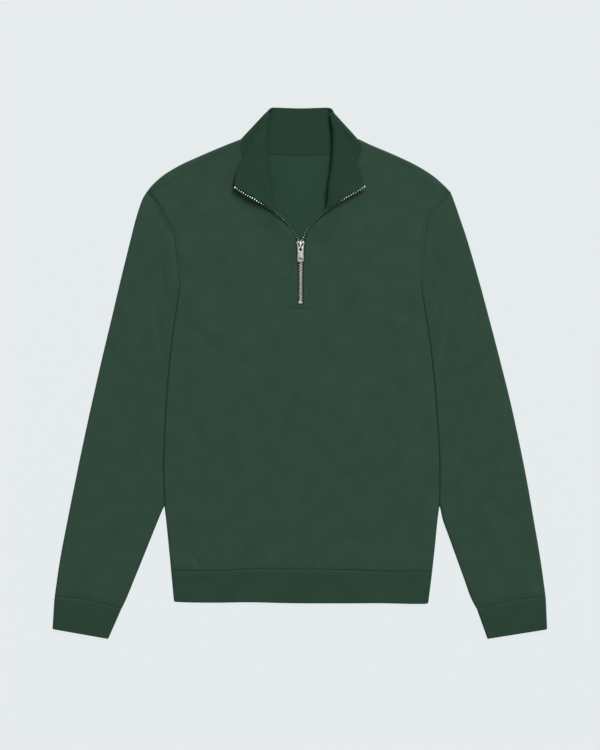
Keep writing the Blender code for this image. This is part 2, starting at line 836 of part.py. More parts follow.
def sleeve_path(side, share):
    """The line in the plane that a sleeve's section follows, this share of the way to the cuff."""
    sign = side_sign(side)
    outer_y = SHOULDER_Y + (CUFF_SEAM_OUTER_Y - SHOULDER_Y) * share
    inner_y = ARMPIT_Y + (CUFF_SEAM_INNER_Y - ARMPIT_Y) * share
    start = edge_point(SLEEVE_OUTER, side, outer_y)
    end = sleeve_inner_point(side, inner_y)
    fade = max(1 - share / BOW_SHARE, 0) ** 2
    away = np.array([sign, -1]) * SEAM * 1.3
    armhole_start = edge_point(ARMHOLE, side, SHOULDER_Y)
    armhole_end = edge_point(ARMHOLE, side, ARMPIT_Y)

    def path(along):
        along = min(max(along, 0), 1)
        y = SHOULDER_Y + (ARMPIT_Y - SHOULDER_Y) * along
        bow = edge_point(ARMHOLE, side, y) - armhole_start - (armhole_end - armhole_start) * along
        return start + (end - start) * along + (bow + away) * fade

    return path


def build_sleeve(side, cloth):
    shares = [(k / SLEEVE_SECTIONS) ** 1.15 for k in range(SLEEVE_SECTIONS)]
    gap = SEAM / (SHOULDER_Y - CUFF_SEAM_OUTER_Y)
    shares.append(1 - gap)
    sections = [
        tube_section(sleeve_path(side, s), LAID, CLOTH, ROLL, SLEEVE_TOP, SLEEVE_LOW) for s in shares
    ]
    return tube(f"sleeve_{side}", sections, cloth)


# Share of the way from the seam to the edge, and the share of the height left there
CUFF_STOPS = ((0, 1), (0.95, 1), (1, 0.8))
RIB_ROLL = 3.7        # the roll's radius on ribbed tubes
CUFF_LOW = 6          # cells across a cuff's plain underside
HEM_LOW = 12          # cells across the hem band's plain underside


def build_cuff(side, rib):
    sign = side_sign(side)
    edge = next(row for row in CUFF_EDGE if row.side == side)
    seam_start = edge_point(SLEEVE_OUTER, side, CUFF_SEAM_OUTER_Y)
    seam_end = edge_point(SLEEVE_INNER, side, CUFF_SEAM_INNER_Y)
    low_start = np.array([sign * edge.outer_x, edge.outer_y])
    low_end = np.array([sign * edge.inner_x, edge.inner_y])
    top = rib_cells(np.linalg.norm(seam_end - seam_start))
    sections = []
    for share, squeeze in CUFF_STOPS:
        start = seam_start + (low_start - seam_start) * share
        end = seam_end + (low_end - seam_end) * share

        def path(along, start=start, end=end):
            return start + (end - start) * along

        sections.append(tube_section(path, RIB_LAID, RIB_CLOTH, RIB_ROLL, top, CUFF_LOW, True, squeeze))
    return tube(f"cuff_{side}", sections, rib)


def build_hem_band(rib):
    wide = SIDES[0].left + SIDES[0].right
    top = rib_cells(wide)
    sections = []
    for share, squeeze in CUFF_STOPS:
        left = SIDES[0].left + (HEM_EDGE_LEFT - SIDES[0].left) * share
        right = SIDES[0].right + (HEM_EDGE_RIGHT - SIDES[0].right) * share

        def path(along, left=left, right=right, share=share):
            x = -left + (left + right) * along
            top_y, low_y = smooth(HEM, "seam", x), smooth(HEM, "edge", x)
            return np.array([x, top_y + (low_y - top_y) * share])

        sections.append(tube_section(path, RIB_LAID, RIB_CLOTH, RIB_ROLL, top, HEM_LOW, True, squeeze))
    return tube("hem_band", sections, rib)


# Collar

def build_collar(rib):
    middle = COLLAR_MIDDLE
    normals = np.cross(np.gradient(middle, axis=1), np.gradient(middle, axis=0))
    normals /= np.linalg.norm(normals, axis=2)[:, :, None]
    raised = np.where(np.arange(COLLAR_CELLS + 1) % 2, RIB_HEIGHT, 0)[None, :, None]
    shown = middle + normals * (RIB_CLOTH / 2 + raised)
    plain = middle - normals * RIB_CLOTH / 2
    coarse = list(range(0, COLLAR_CELLS + 1, COARSE_STEP))
    plain = plain[:, coarse]
    shown[:, :, 2] = np.maximum(shown[:, :, 2], 0)
    plain[:, :, 2] = np.maximum(plain[:, :, 2], 0)
    return wall("collar", shown.tolist(), plain.tolist(), rib, coarse=coarse)


# Zip

OPEN_SAMPLES = 18
TAPE_SAMPLES = 26


def zip_places(side, first, count):
    """Smoothly spread places along the zip, from a row of its table to its top end."""
    sign = side_sign(side)
    rows = ZIP[first:]
    steps = [math.dist(a[:3], b[:3]) for a, b in zip(rows, rows[1:])]
    keys = np.concatenate([[0], np.cumsum(steps)])
    columns = table("key x y z turn tape_in tape_out drop", *[(k, *row) for k, row in zip(keys, rows)])
    places = []
    for at in np.linspace(0, keys[-1], count):
        here = np.array([smooth(columns, axis, at) for axis in "xyz"]) * (sign, 1, 1)
        low, high = max(at - 1, 0), min(at + 1, keys[-1])
        run = np.array([smooth(columns, axis, high) - smooth(columns, axis, low) for axis in "xyz"])
        run = unit(run * (sign, 1, 1))
        level = unit(np.array([run[1], -run[0], 0]) * sign)
        turn = math.radians(smooth(columns, "turn", at))
        cross = level * math.cos(turn) - np.array([0, 0, math.sin(turn)])
        cross = unit(cross - run * np.dot(cross, run))
        face = np.cross(run, cross)
        values = {name: smooth(columns, name, at) for name in ("tape_in", "tape_out", "drop")}
        places.append((here, cross, face, values))
    return places


def build_bar(name, rings, bar_material):
    """A closed bar through rings of four points."""
    points = [p for ring in rings for p in ring]
    faces = [(0, 1, 2, 3), tuple(len(points) - k for k in (1, 2, 3, 4))]
    for i in range(len(rings) - 1):
        for k in range(4):
            after = (k + 1) % 4
            faces.append((4 * i + k, 4 * i + after, 4 * i + 4 + after, 4 * i + 4 + k))
    return finish(name, points, faces, bar_material)


def build_open_teeth(side, metal):
    wide, thick = HALF_TEETH_WIDE / 2, HALF_TEETH_THICK / 2
    rings = []
    for here, cross, face, _ in zip_places(side, FIRST_OPEN, OPEN_SAMPLES):
        corners = ((-wide, -thick), (wide, -thick), (wide, thick), (-wide, thick))
        rings.append([here + cross * a + face * b for a, b in corners])
    return build_bar(f"zip_teeth_{side}", rings, metal)


def build_tape(side, tape):
    thick = TAPE_THICK / 2
    rings = []
    for here, cross, face, row in zip_places(side, 0, TAPE_SAMPLES):
        centre = here - np.array([0, 0, row["drop"]])
        near, far = row["tape_in"], row["tape_out"]
        corners = ((near, -thick), (far, -thick), (far, thick), (near, thick))
        rings.append([centre + cross * a + face * b for a, b in corners])
    return build_bar(f"zip_tape_{side}", rings, tape)


def build_closed_teeth(metal):
    wide = TEETH_WIDE / 2
    stop = wide + STOP_MORE
    stop_top = STOP_Y + STOP_LONG
    ends = ((STOP_Y, stop), (stop_top, stop), (stop_top + STOP_MORE, wide), (SLIDER_LOW - STOP_MORE, wide))
    rings = []
    for y, half in ends:
        corners = ((-half, TEETH_UNDER), (half, TEETH_UNDER), (half, TEETH_TOP), (-half, TEETH_TOP))
        rings.append([(x, y, z) for x, z in corners])
    return build_bar("zip_teeth_closed", rings, metal)


SLIDER_PLATE_TOP = 8.9
SLIDER_OUTLINE = ((2.2, SLIDER_TOP), (5.6, SLIDER_TOP - 0.4), (6.5, 196.4), (6.2, 191), (4.7, SLIDER_LOW))
BRIDGE = (
    (194.8, 8.2), (194.8, 11.9), (183.6, 11.9), (183.6, 8.2),
    (185.4, 8.2), (185.4, 10.9), (192.9, 10.9), (192.9, 8.2),
)
BRIDGE_HALF = 1.2


def prism(name, outline, low, high, along, prism_material):
    """An outline of two coordinates, stretched between two values of the third."""
    count = len(outline)
    points = []
    for value in (low, high):
        for a, b in outline:
            points.append((a, b, value) if along == "z" else (value, a, b))
    faces = [tuple(range(count)), tuple(range(2 * count - 1, count - 1, -1))]
    for k in range(count):
        after = (k + 1) % count
        faces.append((k, after, count + after, count + k))
    return finish(name, points, faces, prism_material)


def build_slider(metal):
    outline = list(SLIDER_OUTLINE) + [(-x, y) for x, y in reversed(SLIDER_OUTLINE)]
    slider = prism("zip_slider", outline, TEETH_UNDER, SLIDER_PLATE_TOP, "z", metal)
    bridge = prism("bridge_shape", BRIDGE, -BRIDGE_HALF, BRIDGE_HALF, "x", metal)
    bridge.hide_render = True
    bridge.display_type = "WIRE"
    join = slider.modifiers.new("bridge", "BOOLEAN")
    join.operation = "UNION"
    join.object = bridge
    return slider


TAB_THICK = 1.2
TAB_HALF = 5.2
TAB_LOW = 166.6
EYE_HALF = 2.4
EYE_LOW = 181.3
CROSSBAR = 1.2
WINDOW = (2.7, 169.6, 174.6)


def build_pull_tab(metal):
    """The tab lies along -Y from its crossbar, which is its origin and the hinge's axis."""
    curve = bpy.data.curves.new("pull_tab", "CURVE")
    curve.dimensions = "2D"
    curve.fill_mode = "BOTH"
    curve.extrude = TAB_THICK / 2 * MM
    top = PIVOT_Y + CROSSBAR / 2
    eye_top = PIVOT_Y - CROSSBAR / 2
    half, low, high = WINDOW
    rim = (
        (-4.4, top), (4.4, top), (TAB_HALF, top - 2), (TAB_HALF, TAB_LOW + 2.6),
        (TAB_HALF - 0.8, TAB_LOW + 0.8), (TAB_HALF - 2.6, TAB_LOW), (-TAB_HALF + 2.6, TAB_LOW),
        (-TAB_HALF + 0.8, TAB_LOW + 0.8), (-TAB_HALF, TAB_LOW + 2.6), (-TAB_HALF, top - 2),
    )
    eye = (
        (-EYE_HALF, eye_top), (-EYE_HALF, EYE_LOW + 1.4), (-1.4, EYE_LOW),
        (1.4, EYE_LOW), (EYE_HALF, EYE_LOW + 1.4), (EYE_HALF, eye_top),
    )
    window = ((-half, high), (-half, low), (half, low), (half, high))
    for loop in (rim, eye, window):
        spline = curve.splines.new("POLY")
        spline.points.add(len(loop) - 1)
        for point, (x, y) in zip(spline.points, loop):
            point.co = (x * MM, (y - PIVOT_Y) * MM, 0, 1)
        spline.use_cyclic_u = True
    curve.materials.append(metal)
    tab = bpy.data.objects.new("pull_tab", curve)
    tab.location = (0, PIVOT_Y * MM, PIVOT_Z * MM)
    bpy.context.scene.collection.objects.link(tab)
    return tab


def main():
    for old in list(bpy.data.objects):
        bpy.data.objects.remove(old, do_unlink=True)
    cloth = material("green_fleece", (0.031, 0.066, 0.045), 0.9)
    rib = material("green_rib", (0.025, 0.054, 0.036), 0.9)
    tape = material("zip_tape", (0.02, 0.042, 0.029), 0.85)
    metal = material("zip_metal", (0.62, 0.6, 0.57), 0.32, 1.0)
    build_front(cloth)
    build_back(cloth)
    for side in ("left", "right"):
        build_sleeve(side, cloth)
        build_cuff(side, rib)
        build_open_teeth(side, metal)
        build_tape(side, tape)
    build_hem_band(rib)
    build_collar(rib)
    build_closed_teeth(metal)
    build_slider(metal)
    build_pull_tab(metal)


if __name__ == "__main__":
    main()
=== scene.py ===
"""Stand collar sweatshirt with a half zip, dressed and laid flat on a pale floor.

X runs across the chest, Y from the hem up to the collar, Z out of the front.
The back rests on z = 0. Tables and sizes are in millimetres, and the meshes
are scaled to metres as they are made. Left is the side of -X.
"""

import math
from collections import namedtuple

import bmesh
import bpy
import numpy as np
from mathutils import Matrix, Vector


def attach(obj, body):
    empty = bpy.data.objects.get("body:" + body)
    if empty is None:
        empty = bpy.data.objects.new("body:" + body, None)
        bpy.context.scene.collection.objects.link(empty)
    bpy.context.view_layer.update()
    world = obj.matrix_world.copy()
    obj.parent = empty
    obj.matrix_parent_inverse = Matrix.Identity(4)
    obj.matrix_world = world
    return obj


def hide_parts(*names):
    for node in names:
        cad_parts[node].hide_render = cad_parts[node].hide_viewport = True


bl_info = {
    "name": "Stand Collar Sweatshirt",
    "version": (1, 0, 0),
    "blender": (4, 5, 0),
    "location": "3D View > Sidebar > Sweatshirt",
    "description": "Dresses a stand collar sweatshirt with cloth, rib, stitching and a metal half zip",
    "category": "Object",
}

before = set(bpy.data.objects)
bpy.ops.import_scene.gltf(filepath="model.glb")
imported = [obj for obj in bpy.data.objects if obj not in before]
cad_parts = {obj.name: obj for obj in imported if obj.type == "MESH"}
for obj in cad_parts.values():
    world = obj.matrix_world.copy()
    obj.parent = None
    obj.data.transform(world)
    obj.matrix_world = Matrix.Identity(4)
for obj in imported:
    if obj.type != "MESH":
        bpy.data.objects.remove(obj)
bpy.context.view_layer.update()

MM = 0.001
GARMENT = "garment"
PULL = "pull"
CLOTH_MAP = "cloth"   # UV map of every cloth piece, in decimetres of cloth
MAP_UNIT = 100.0

# Cloth
CLOTH = 2.6           # thickness of the brushed sweatshirt cloth
RIB_CLOTH = 3.2       # thickness of the double rib of collar, cuffs and hem
LAID = 7.0            # height of front on back where both lie flat
RIB_LAID = 7.4        # the same for cuffs and hem band
ROLL = 3.8            # how far in from an edge the cloth starts to roll over
SIDE_PRESS = 0.2      # how far the rolled edges of body and sleeve press into each other
TUCK = 0.5            # how far a piece reaches under its neighbour at a seam
SEAM_LENS = 0.45      # share of the cloth's thickness that is left at a seam
FLAT_LENS = 0.8       # the same at a seam that is pressed flat
FREE_LENS = 0.12      # share that is left at a free edge

# Zip
TAPE_THICK = 0.8
SLIT_HALF = 4.2
SLIT_END = 103.8      # y of the slit's lower end
STOP_Y = 104.4        # y of the lower end of the closed teeth
STOP_LONG = 4.0       # length of the bottom stop
SLIDER_LOW = 182.6
TEETH_Z = 6.25        # height of the closed teeth
PIVOT_Z = 9.9         # height of the pull tab's hinge

BOTH = ("left", "right")


def table(columns, *rows):
    """Rows with named columns. The first column is the one that is looked up."""
    kind = namedtuple("Row", columns)
    return [kind(*row) for row in rows]


# Half widths of the body from the hem seam up to the armpit
SIDES = table(
    "y left right",
    (-296, 194, 197.5),
    (-264, 197, 201),
    (-219, 201.5, 205.5),
    (-197, 204, 208),
    (-129, 205.5, 208.5),
    (-69, 203, 205),
    (-9, 199, 200.5),
    (51, 193, 193.5),
    (111, 184.5, 184.5),
    (132, 181.5, 181.5),
)
ARMPIT_Y = 132

# Half widths to the armhole seam, from the armpit up to the shoulder point
ARMHOLE = table(
    "y left right",
    (132, 181.5, 181.5),
    (166, 185, 184.5),
    (188.5, 188, 187),
    (206.5, 190.5, 188.5),
    (224.5, 197.5, 191),
    (241, 206, 198),
    (254.5, 214.5, 211),
    (264, 222, 219.5),
    (272, 231, 225.3),
)
SHOULDER_Y = 272

# Half widths of the silhouette from the shoulder point up to the neck
SHOULDER = table(
    "y left right",
    (272, 231, 225.3),
    (283, 222, 214.5),
    (298, 205, 197),
    (313, 180, 172.5),
    (328, 147, 141),
    (343, 111.5, 105.5),
    (352, 88.2, 86.6),
)
NECK_Y = 352

# How far the back wraps forward of the silhouette, from shoulder point to neck
WRAP = table(
    "share left right",
    (0, 2.2, 2.2),
    (0.08, 6.5, 6.5),
    (0.26, 13, 13),
    (0.42, 13.2, 12.5),
    (0.56, 11, 8.5),
    (0.75, 8.4, 6.5),
    (1, 6.5, 6.5),
)

# Half widths to the outer edge of the sleeves, from the cuff seam up
SLEEVE_OUTER = table(
    "y left right",
    (-334, 368.6, 367.5),
    (-279, 360.6, 359.9),
    (-219, 349.2, 349.7),
    (-159, 337.2, 339.2),
    (-99, 324.8, 327.2),
    (-39, 311.7, 314),
    (21, 298, 299),
    (81, 283.7, 283.4),
    (141, 269.6, 267.3),
    (201, 254.9, 250),
    (231, 247.4, 240),
    (261, 237.6, 229.7),
    (272, 231, 225.3),
)

# Half widths to the inner edge of the sleeves, from the cuff seam up to the
# place where sleeve and body part
SLEEVE_INNER = table(
    "y left right",
    (-353, 268.5, 264.3),
    (-335, 260.1, 255),
    (-309, 249.5, 245.7),
    (-279, 237.3, 234.9),
    (-249, 225.3, 224.1),
    (-219, 213.2, 213.3),
    (-200, 205.3, 209.2),
)
PARTING_Y = -200
CUFF_SEAM_OUTER_Y = -334
CUFF_SEAM_INNER_Y = -353
CUFF_BOW = {"left": 3.9, "right": 2.6}   # how far the cuff seams bow up between their ends

# Ends of the cuffs' lower edges
CUFF_EDGE = table(
    "side outer_x outer_y inner_x inner_y",
    ("left", 371.7, -382.8, 288.2, -397.5),
    ("right", 369.7, -383.2, 280.2, -397.5),
)

# Seam and lower edge of the hem band along x
HEM = table(
    "x seam edge",
    (-198, -295.9, -339),
    (-186, -295.7, -342),
    (-130, -295.9, -343.2),
    (-76, -293.2, -342.6),
    (-10, -293.5, -344),
    (74, -294.4, -344.2),
    (119, -296.6, -344),
    (184, -296.5, -345),
    (198, -296.8, -343),
)
HEM_EDGE_LEFT = 189.6
HEM_EDGE_RIGHT = 191.4

# The collar's right half as sections from the neck seam to its free edge. Rolled
# goes from 0, straight by way of the roll point and raised there by bulge, to 1,
# in to the roll line and back out over itself. The left half is its mirror,
# moved out by the three last columns.
COLLAR = table(
    "seam_x seam_y seam_z roll_x roll_y edge_x edge_y edge_z rolled roll_at bulge"
    " seam_more roll_more edge_more",
    (0, 327.4, 1.6, 0, 362, 0, 398, 1.6, 0, 0.5, 0, 0, 0, 0),
    (30, 328, 1.6, 27, 362.5, 23, 398.6, 1.6, 0, 0.55, 0, 0, 0, 0),
    (55, 331.5, 1.6, 45, 364.3, 34, 399, 1.8, 0, 0.62, 0, 1, 1, 0),
    (77, 341.6, 1.7, 58.3, 369, 38.5, 399, 2.4, 0, 0.8, 0, 2, 4, 0),
    (85.6, 349.2, 4.8, 63.7, 372.1, 43.2, 398, 5.4, 0, 0.88, 0, 3.5, 5.5, -1.2),
    (86.6, 347.2, 6.5, 54, 380, 46.4, 395.6, 9, 0.25, 0.9, 0, 2.8, 3.6, -0.6),
    (87.3, 344.8, 8.0, 45, 387, 50, 388.6, 13.5, 0.7, 0.9, 0, 2, 2, 2),
    (89.8, 335.6, 8.2, 48.8, 362, 59.3, 370.9, 16.6, 1, 0.75, 0, -0.9, 1.5, 2),
    (83.3, 317.6, 8.3, 48.5, 335.6, 70.5, 346.1, 17.6, 1, 0.5, 0, 0, 2, 4),
    (66.8, 290.6, 9.2, 45.8, 302.6, 83.3, 316.1, 18.4, 1, 0.36, 0, 2, 2, 6),
    (51.8, 268.1, 10.9, 42, 278.6, 91.3, 295.4, 18.8, 1, 0.2, 0, 2, 2, 6),
    (36.2, 243.1, 12.4, 62.6, 267.6, 93.2, 284.2, 18.8, 0, 0.1, 4.9, 0, 1, 5.4),
)
COLLAR_FIRST_ON_FRONT = 6

# The right half of the zip, centre of the teeth from the bottom stop to the
# top end. turn is the way to the cloth: 0 level and outward, 90 straight down,
# 180 level and inward. tape_in and tape_out are measured that way, and drop is
# how far the tape lies below the teeth. The left half is its mirror, moved out by
# left_x and up by left_y.
ZIP = table(
    "x y z turn tape_in tape_out drop left_x left_y",
    (1.75, 98.6, 6.25, 0, -1.5, 10.2, 2.6, 0, 0),
    (1.75, 172, 6.25, 0, -1.5, 10.2, 2.6, 0, 0),
    (1.75, 177, 6.25, 0, -1.3, 6.4, 2.6, 0, 0),
    (1.8, 185, 6.25, 0, 0.6, 5.6, 2.6, 0, 0),
    (2.8, 200.3, 6.3, 0, 2.2, 5.0, 2.5, 0, 0),
    (9.5, 214.1, 10, 25, 2.2, 4.1, 0.3, 0.8, -0.7),
    (19.6, 226.1, 13.8, 55, 2.2, 4.1, 0, 0.7, -0.7),
    (36.8, 242.2, 17.5, 90, 2.2, 4.1, 0, 0.7, -0.9),
    (50.3, 251.6, 20, 135, 2.2, 4.1, 0, 1.0, -1.4),
    (67.2, 262.6, 20.8, 168, 2.2, 4.1, 0, 1.4, -2.5),
    (84.3, 271.9, 20.2, 180, 2.2, 4.1, 0, 1.8, -2.1),
    (97, 280.1, 19.2, 180, 2.2, 4.1, 0, 2.4, -1.1),
)
CLOTH_AT = 2.1        # from the centre of the teeth to the cloth's edge, over the tape
COLLAR_AT = 1.6       # the same for the collar's ends
FIRST_OPEN = 4        # row of the table where the teeth part
CORNER = 7            # row of the table where front and collar meet

# Half width of the slit beside the closed teeth and the slider
SLIT = table(
    "y half",
    (SLIT_END, SLIT_HALF),
    (168, SLIT_HALF),
    (177, 5.2),
    (184, 6.6),
    (200.2, 7.4),
)

# How far the front is lifted off the flat along the neck seam and the zip
LIFT = table(
    "x y lift",
    (87, 347, 2.5),
    (90.8, 335.6, 2.5),
    (83.3, 317.6, 2.6),
    (66.8, 290.6, 3.5),
    (51.8, 268.1, 5.2),
    (37.8, 242, 4.4),
    (22, 224, 4.3),
    (12.5, 212, 2.2),
    (7.2, 199, 0.3),
)
LIFT_REACH = 21.0     # how far from that line the lift fades out

# Soft folds of the upper side: a ridge from one end to the other, or a trough
# where its height is below zero. The larger ones come first.
FOLDS = table(
    "x0 y0 x1 y1 wide height",
    (-170, -258, -152, -290, 6, -0.7),
    (-88, -272, -36, -205, 13, 0.8),
    (28, -15, 132, -118, 22, 0.7),
    (-55, -290, -50, -250, 9, 0.7),
    (-8, -290, -12, -255, 9, 0.6),
    (72, -290, 66, -246, 10, 0.7),
    (150, -288, 172, -232, 11, -0.6),
    (-176, 118, -96, 40, 15, 0.8),
    (-182, 150, -120, 132, 10, -0.6),
    (178, 120, 104, 52, 16, 0.8),
    (182, 152, 124, 140, 10, -0.6),
    (-20, 60, -60, -40, 24, 0.6),
    (-150, -60, -120, -160, 20, -0.5),
    (-246, 150, -300, -60, 11, 0.8),
    (-232, 40, -290, -190, 12, -0.6),
    (-262, -160, -320, -300, 10, 0.8),
    (-330, -210, -352, -322, 8, -0.6),
    (242, 152, 296, -50, 12, 0.8),
    (236, 20, 286, -180, 11, -0.6),
    (262, -170, 318, -306, 10, 0.8),
    (330, -200, 350, -318, 8, -0.6),
    (-168, -259, -153, -287, 3.2, -0.85),
    (-178, -250, -160, -268, 4.5, 0.6),
    (-120, -288, -112, -270, 5.5, 0.5),
    (-31, -288, -34, -272, 5, -0.45),
    (18, -288, 22, -268, 6, 0.5),
    (44, -289, 40, -277, 4, -0.4),
    (98, -290, 104, -270, 5.5, 0.5),
    (131, -288, 140, -262, 5, -0.5),
    (180, -284, 190, -255, 5, 0.5),
    (-176, 104, -148, 84, 6, -0.6),
    (-168, 92, -130, 58, 6, 0.5),
    (177, 100, 150, 86, 6, -0.6),
    (170, 86, 132, 60, 6, 0.5),
    (-227, 266, -196, 210, 5.0, -2.0),
    (-216, 264, -196, 228, 4.6, 0.7),
    (-236, 258, -206, 200, 13, -0.8),
    (-250, 246, -228, 180, 9, 0.6),
    (-211, 196, -208, 104, 10, -1.6),
    (-192, 190, -190, 120, 6, 0.5),
    (-178, 186, -176, 120, 6, 0.5),
    (220, 262, 194, 216, 4, -0.7),
    (236, 236, 208, 180, 9, 0.6),
    (204, 186, 197, 120, 7, -0.7),
    (-60, 150, -40, 96, 10, 0.5),
    (52, 158, 70, 112, 9, -0.5),
    (-20, 96, -34, 60, 6, 0.4),
    (18, 95, 28, 70, 5.5, -0.4),
    (-11.5, 96.8, 7.5, 96.8, 2.3, -1.7),
    (-82, -266, -40, -212, 8, 0.5),
    (36, -20, 128, -112, 11, 0.5),
    (-254, 92, -262, 40, 7, 0.7),
    (-218, 84, -206, 30, 7, -0.7),
    (-286, -96, -300, -150, 7, 0.7),
    (-242, -150, -270, -232, 7, -0.7),
    (-344, -300, -350, -330, 5, 0.5),
    (-300, -318, -306, -340, 4.5, -0.5),
    (-282, -300, -288, -342, 5, 0.5),
    (250, 88, 262, 30, 7, 0.7),
    (214, 74, 220, 12, 7, -0.6),
    (290, -104, 304, -160, 7, 0.7),
    (246, -160, 262, -214, 7, -0.6),
    (344, -296, 350, -330, 5, 0.5),
    (304, -316, 310, -340, 4.5, -0.5),
    (284, -296, 292, -342, 5, 0.5),
    (-176, -300, -180, -330, 8, -0.9),
    (-168, -316, -138, -311, 9, -1.3),
    (-120, -304, -112, -334, 7, 0.4),
    (-30, -302, -34, -336, 8, 0.4),
    (60, -304, 54, -334, 8, -0.4),
    (140, -302, 158, -332, 8, 0.4),
)

# Hollows of the underside, which rests on the floor everywhere else
HOLLOWS = table(
    "x0 y0 x1 y1 wide height",
    (-150, -270, -90, -180, 12, 0.6),
    (-40, -284, -20, -230, 8, 0.45),
    (60, -286, 84, -220, 10, 0.5),
    (140, -270, 176, -190, 11, 0.55),
    (-170, 100, -70, 30, 16, 0.7),
    (168, 92, 86, 10, 15, 0.6),
    (-110, 210, -40, 262, 14, 0.5),
    (120, 204, 52, 240, 12, 0.5),
    (-30, 60, 20, -70, 18, 0.6),
    (70, -40, 128, -140, 16, 0.5),
    (-244, 130, -286, -20, 10, 0.6),
    (-300, -110, -338, -270, 9, 0.5),
    (-246, -180, -282, -290, 8, 0.45),
    (244, 120, 282, -30, 10, 0.55),
    (298, -120, 336, -276, 9, 0.5),
    (242, -176, 276, -280, 8, 0.45),
)

# Along a seam the cloth sinks by deep, which fades over wide. pucker is the
# height of the small waves that the sewing pulls in across it.
SEAMS = table(
    "name deep wide pucker",
    ("armhole_left", 1.1, 3.0, 0.12),
    ("armhole_right", 0.6, 2.4, 0.12),
    ("shoulder_left", 0.4, 1.5, 0.14),
    ("shoulder_right", 0.12, 1.3, 0.08),
    ("neck_left", 0.5, 2.4, 0.10),
    ("neck_right", 0.35, 2.4, 0.10),
    ("hem", 1.2, 1.5, 0.22),
    ("cuff_left", 0.9, 2.2, 0.18),
    ("cuff_right", 0.8, 2.2, 0.18),
)
PUCKER_LONG = 9.0     # length of those waves


def slopes_of(keys, values):
    """Slope of the values at each key, from the keys beside it."""
    low = np.maximum(np.arange(len(keys)) - 1, 0)
    high = np.minimum(np.arange(len(keys)) + 1, len(keys) - 1)
    run = keys[high] - keys[low]
    return (values[high] - values[low]) / run.reshape(run.shape + (1,) * (values.ndim - run.ndim))


def hermite(t, span, low, high, slope_low, slope_high):
    """Values at shares t of the span between two points with these slopes."""
    return (
        low * (2 * t**3 - 3 * t**2 + 1)
        + slope_low * span * (t**3 - 2 * t**2 + t)
        + high * (3 * t**2 - 2 * t**3)
        + slope_high * span * (t**3 - t**2)
    )


def smooth(rows, column, at):
    """A column's values at places in the first column, on a smooth curve through the rows."""
    keys = np.array([row[0] for row in rows], float)
    values = np.array([getattr(row, column) for row in rows], float)
    at = np.clip(np.asarray(at, float), keys[0], keys[-1])
    i = np.clip(np.searchsorted(keys, at) - 1, 0, len(keys) - 2)
    slopes = slopes_of(keys, values)
    span = keys[i + 1] - keys[i]
    return hermite((at - keys[i]) / span, span, values[i], values[i + 1], slopes[i], slopes[i + 1])


def smooth_points(rows, at):
    """Points at places in the first column, on a smooth curve through the rows' x, y and z."""
    return np.stack([smooth(rows, axis, at) for axis in "xyz"], axis=-1)


def lengths(points):
    """How far along a polyline, or along each column of a grid, its points are."""
    steps = np.linalg.norm(np.diff(points, axis=0), axis=-1)
    return np.concatenate([np.zeros((1, *steps.shape[1:])), np.cumsum(steps, axis=0)])


def through(points, at, keys=None):
    """Points of a smooth curve through 3-D points, whose keys are shares of its length by default."""
    if keys is None:
        keys = lengths(points) / lengths(points)[-1]
    return smooth_points(table("key x y z", *[(key, *point) for key, point in zip(keys, points)]), at)


def between(at, keys, line):
    """Points of a polyline at places between the keys of its points."""
    return np.stack([np.interp(at, keys, axis) for axis in np.transpose(line)], axis=-1)


def resample(line, at):
    """A polyline's points at shares of its length."""
    keys = lengths(line)
    return between(at, keys / keys[-1], line)


def unit(vectors):
    vectors = np.asarray(vectors, float)
    return vectors / np.maximum(np.linalg.norm(vectors, axis=-1, keepdims=True), 1e-9)


def smoothstep(value):
    value = np.clip(value, 0, 1)
    return value * value * (3 - 2 * value)


def side_sign(side):
    return -1 if side == "left" else 1


def edge_point(rows, side, y):
    """Points of an outline at these heights, in the plane."""
    y = np.asarray(y, float)
    return np.stack([side_sign(side) * smooth(rows, side, y), y], axis=-1)


SHOULDER_LINES = {side: edge_point(SHOULDER, side, np.linspace(SHOULDER_Y, NECK_Y, 40)) for side in BOTH}


def distance_to(line, points):
    """Distances from points of the plane to a polyline, and the share of it at the nearest places."""
    points = np.asarray(points, float)
    flat = points.reshape(-1, 2)
    gaps = np.full(len(flat), np.inf)
    shares = np.zeros(len(flat))
    runs = np.diff(line, axis=0)
    for k, run in enumerate(runs):
        t = np.clip((flat - line[k]) @ run / (run @ run), 0, 1)
        gap = np.linalg.norm(flat - line[k] - t[:, None] * run, axis=1)
        nearer = gap < gaps
        gaps[nearer] = gap[nearer]
        shares[nearer] = (k + t[nearer]) / len(runs)
    return gaps.reshape(points.shape[:-1]), shares.reshape(points.shape[:-1])


LIFT_LINE = np.array([(row.x, row.y) for row in LIFT], float)


def lift_at(points):
    """How far the neck and the zip lift the cloth off the flat."""
    gaps, shares = distance_to(LIFT_LINE, np.abs(points) * (1, 0) + points * (0, 1))
    lift = np.interp(shares * (len(LIFT) - 1), range(len(LIFT)), [row.lift for row in LIFT])
    return lift * np.exp(-((gaps / LIFT_REACH) ** 2))


def folds_at(points, rows):
    """Height of soft folds."""
    total = np.zeros(points.shape[:-1])
    for fold in rows:
        line = np.array([(fold.x0, fold.y0), (fold.x1, fold.y1)], float)
        gaps, shares = distance_to(line, points)
        total += fold.height * np.exp(-((gaps / fold.wide) ** 2)) * (0.6 + 0.4 * np.sin(math.pi * shares))
    return total


def rounded(distance, roll):
    """0 at an edge and 1 where a roll that starts there has reached the flat."""
    left = 1 - np.minimum(distance, roll) / roll
    return np.sqrt(np.maximum(1 - left * left, 0))


def shoulder_gap(points):
    return np.minimum.reduce([distance_to(line, points)[0] for line in SHOULDER_LINES.values()])


# Collar's middle surface

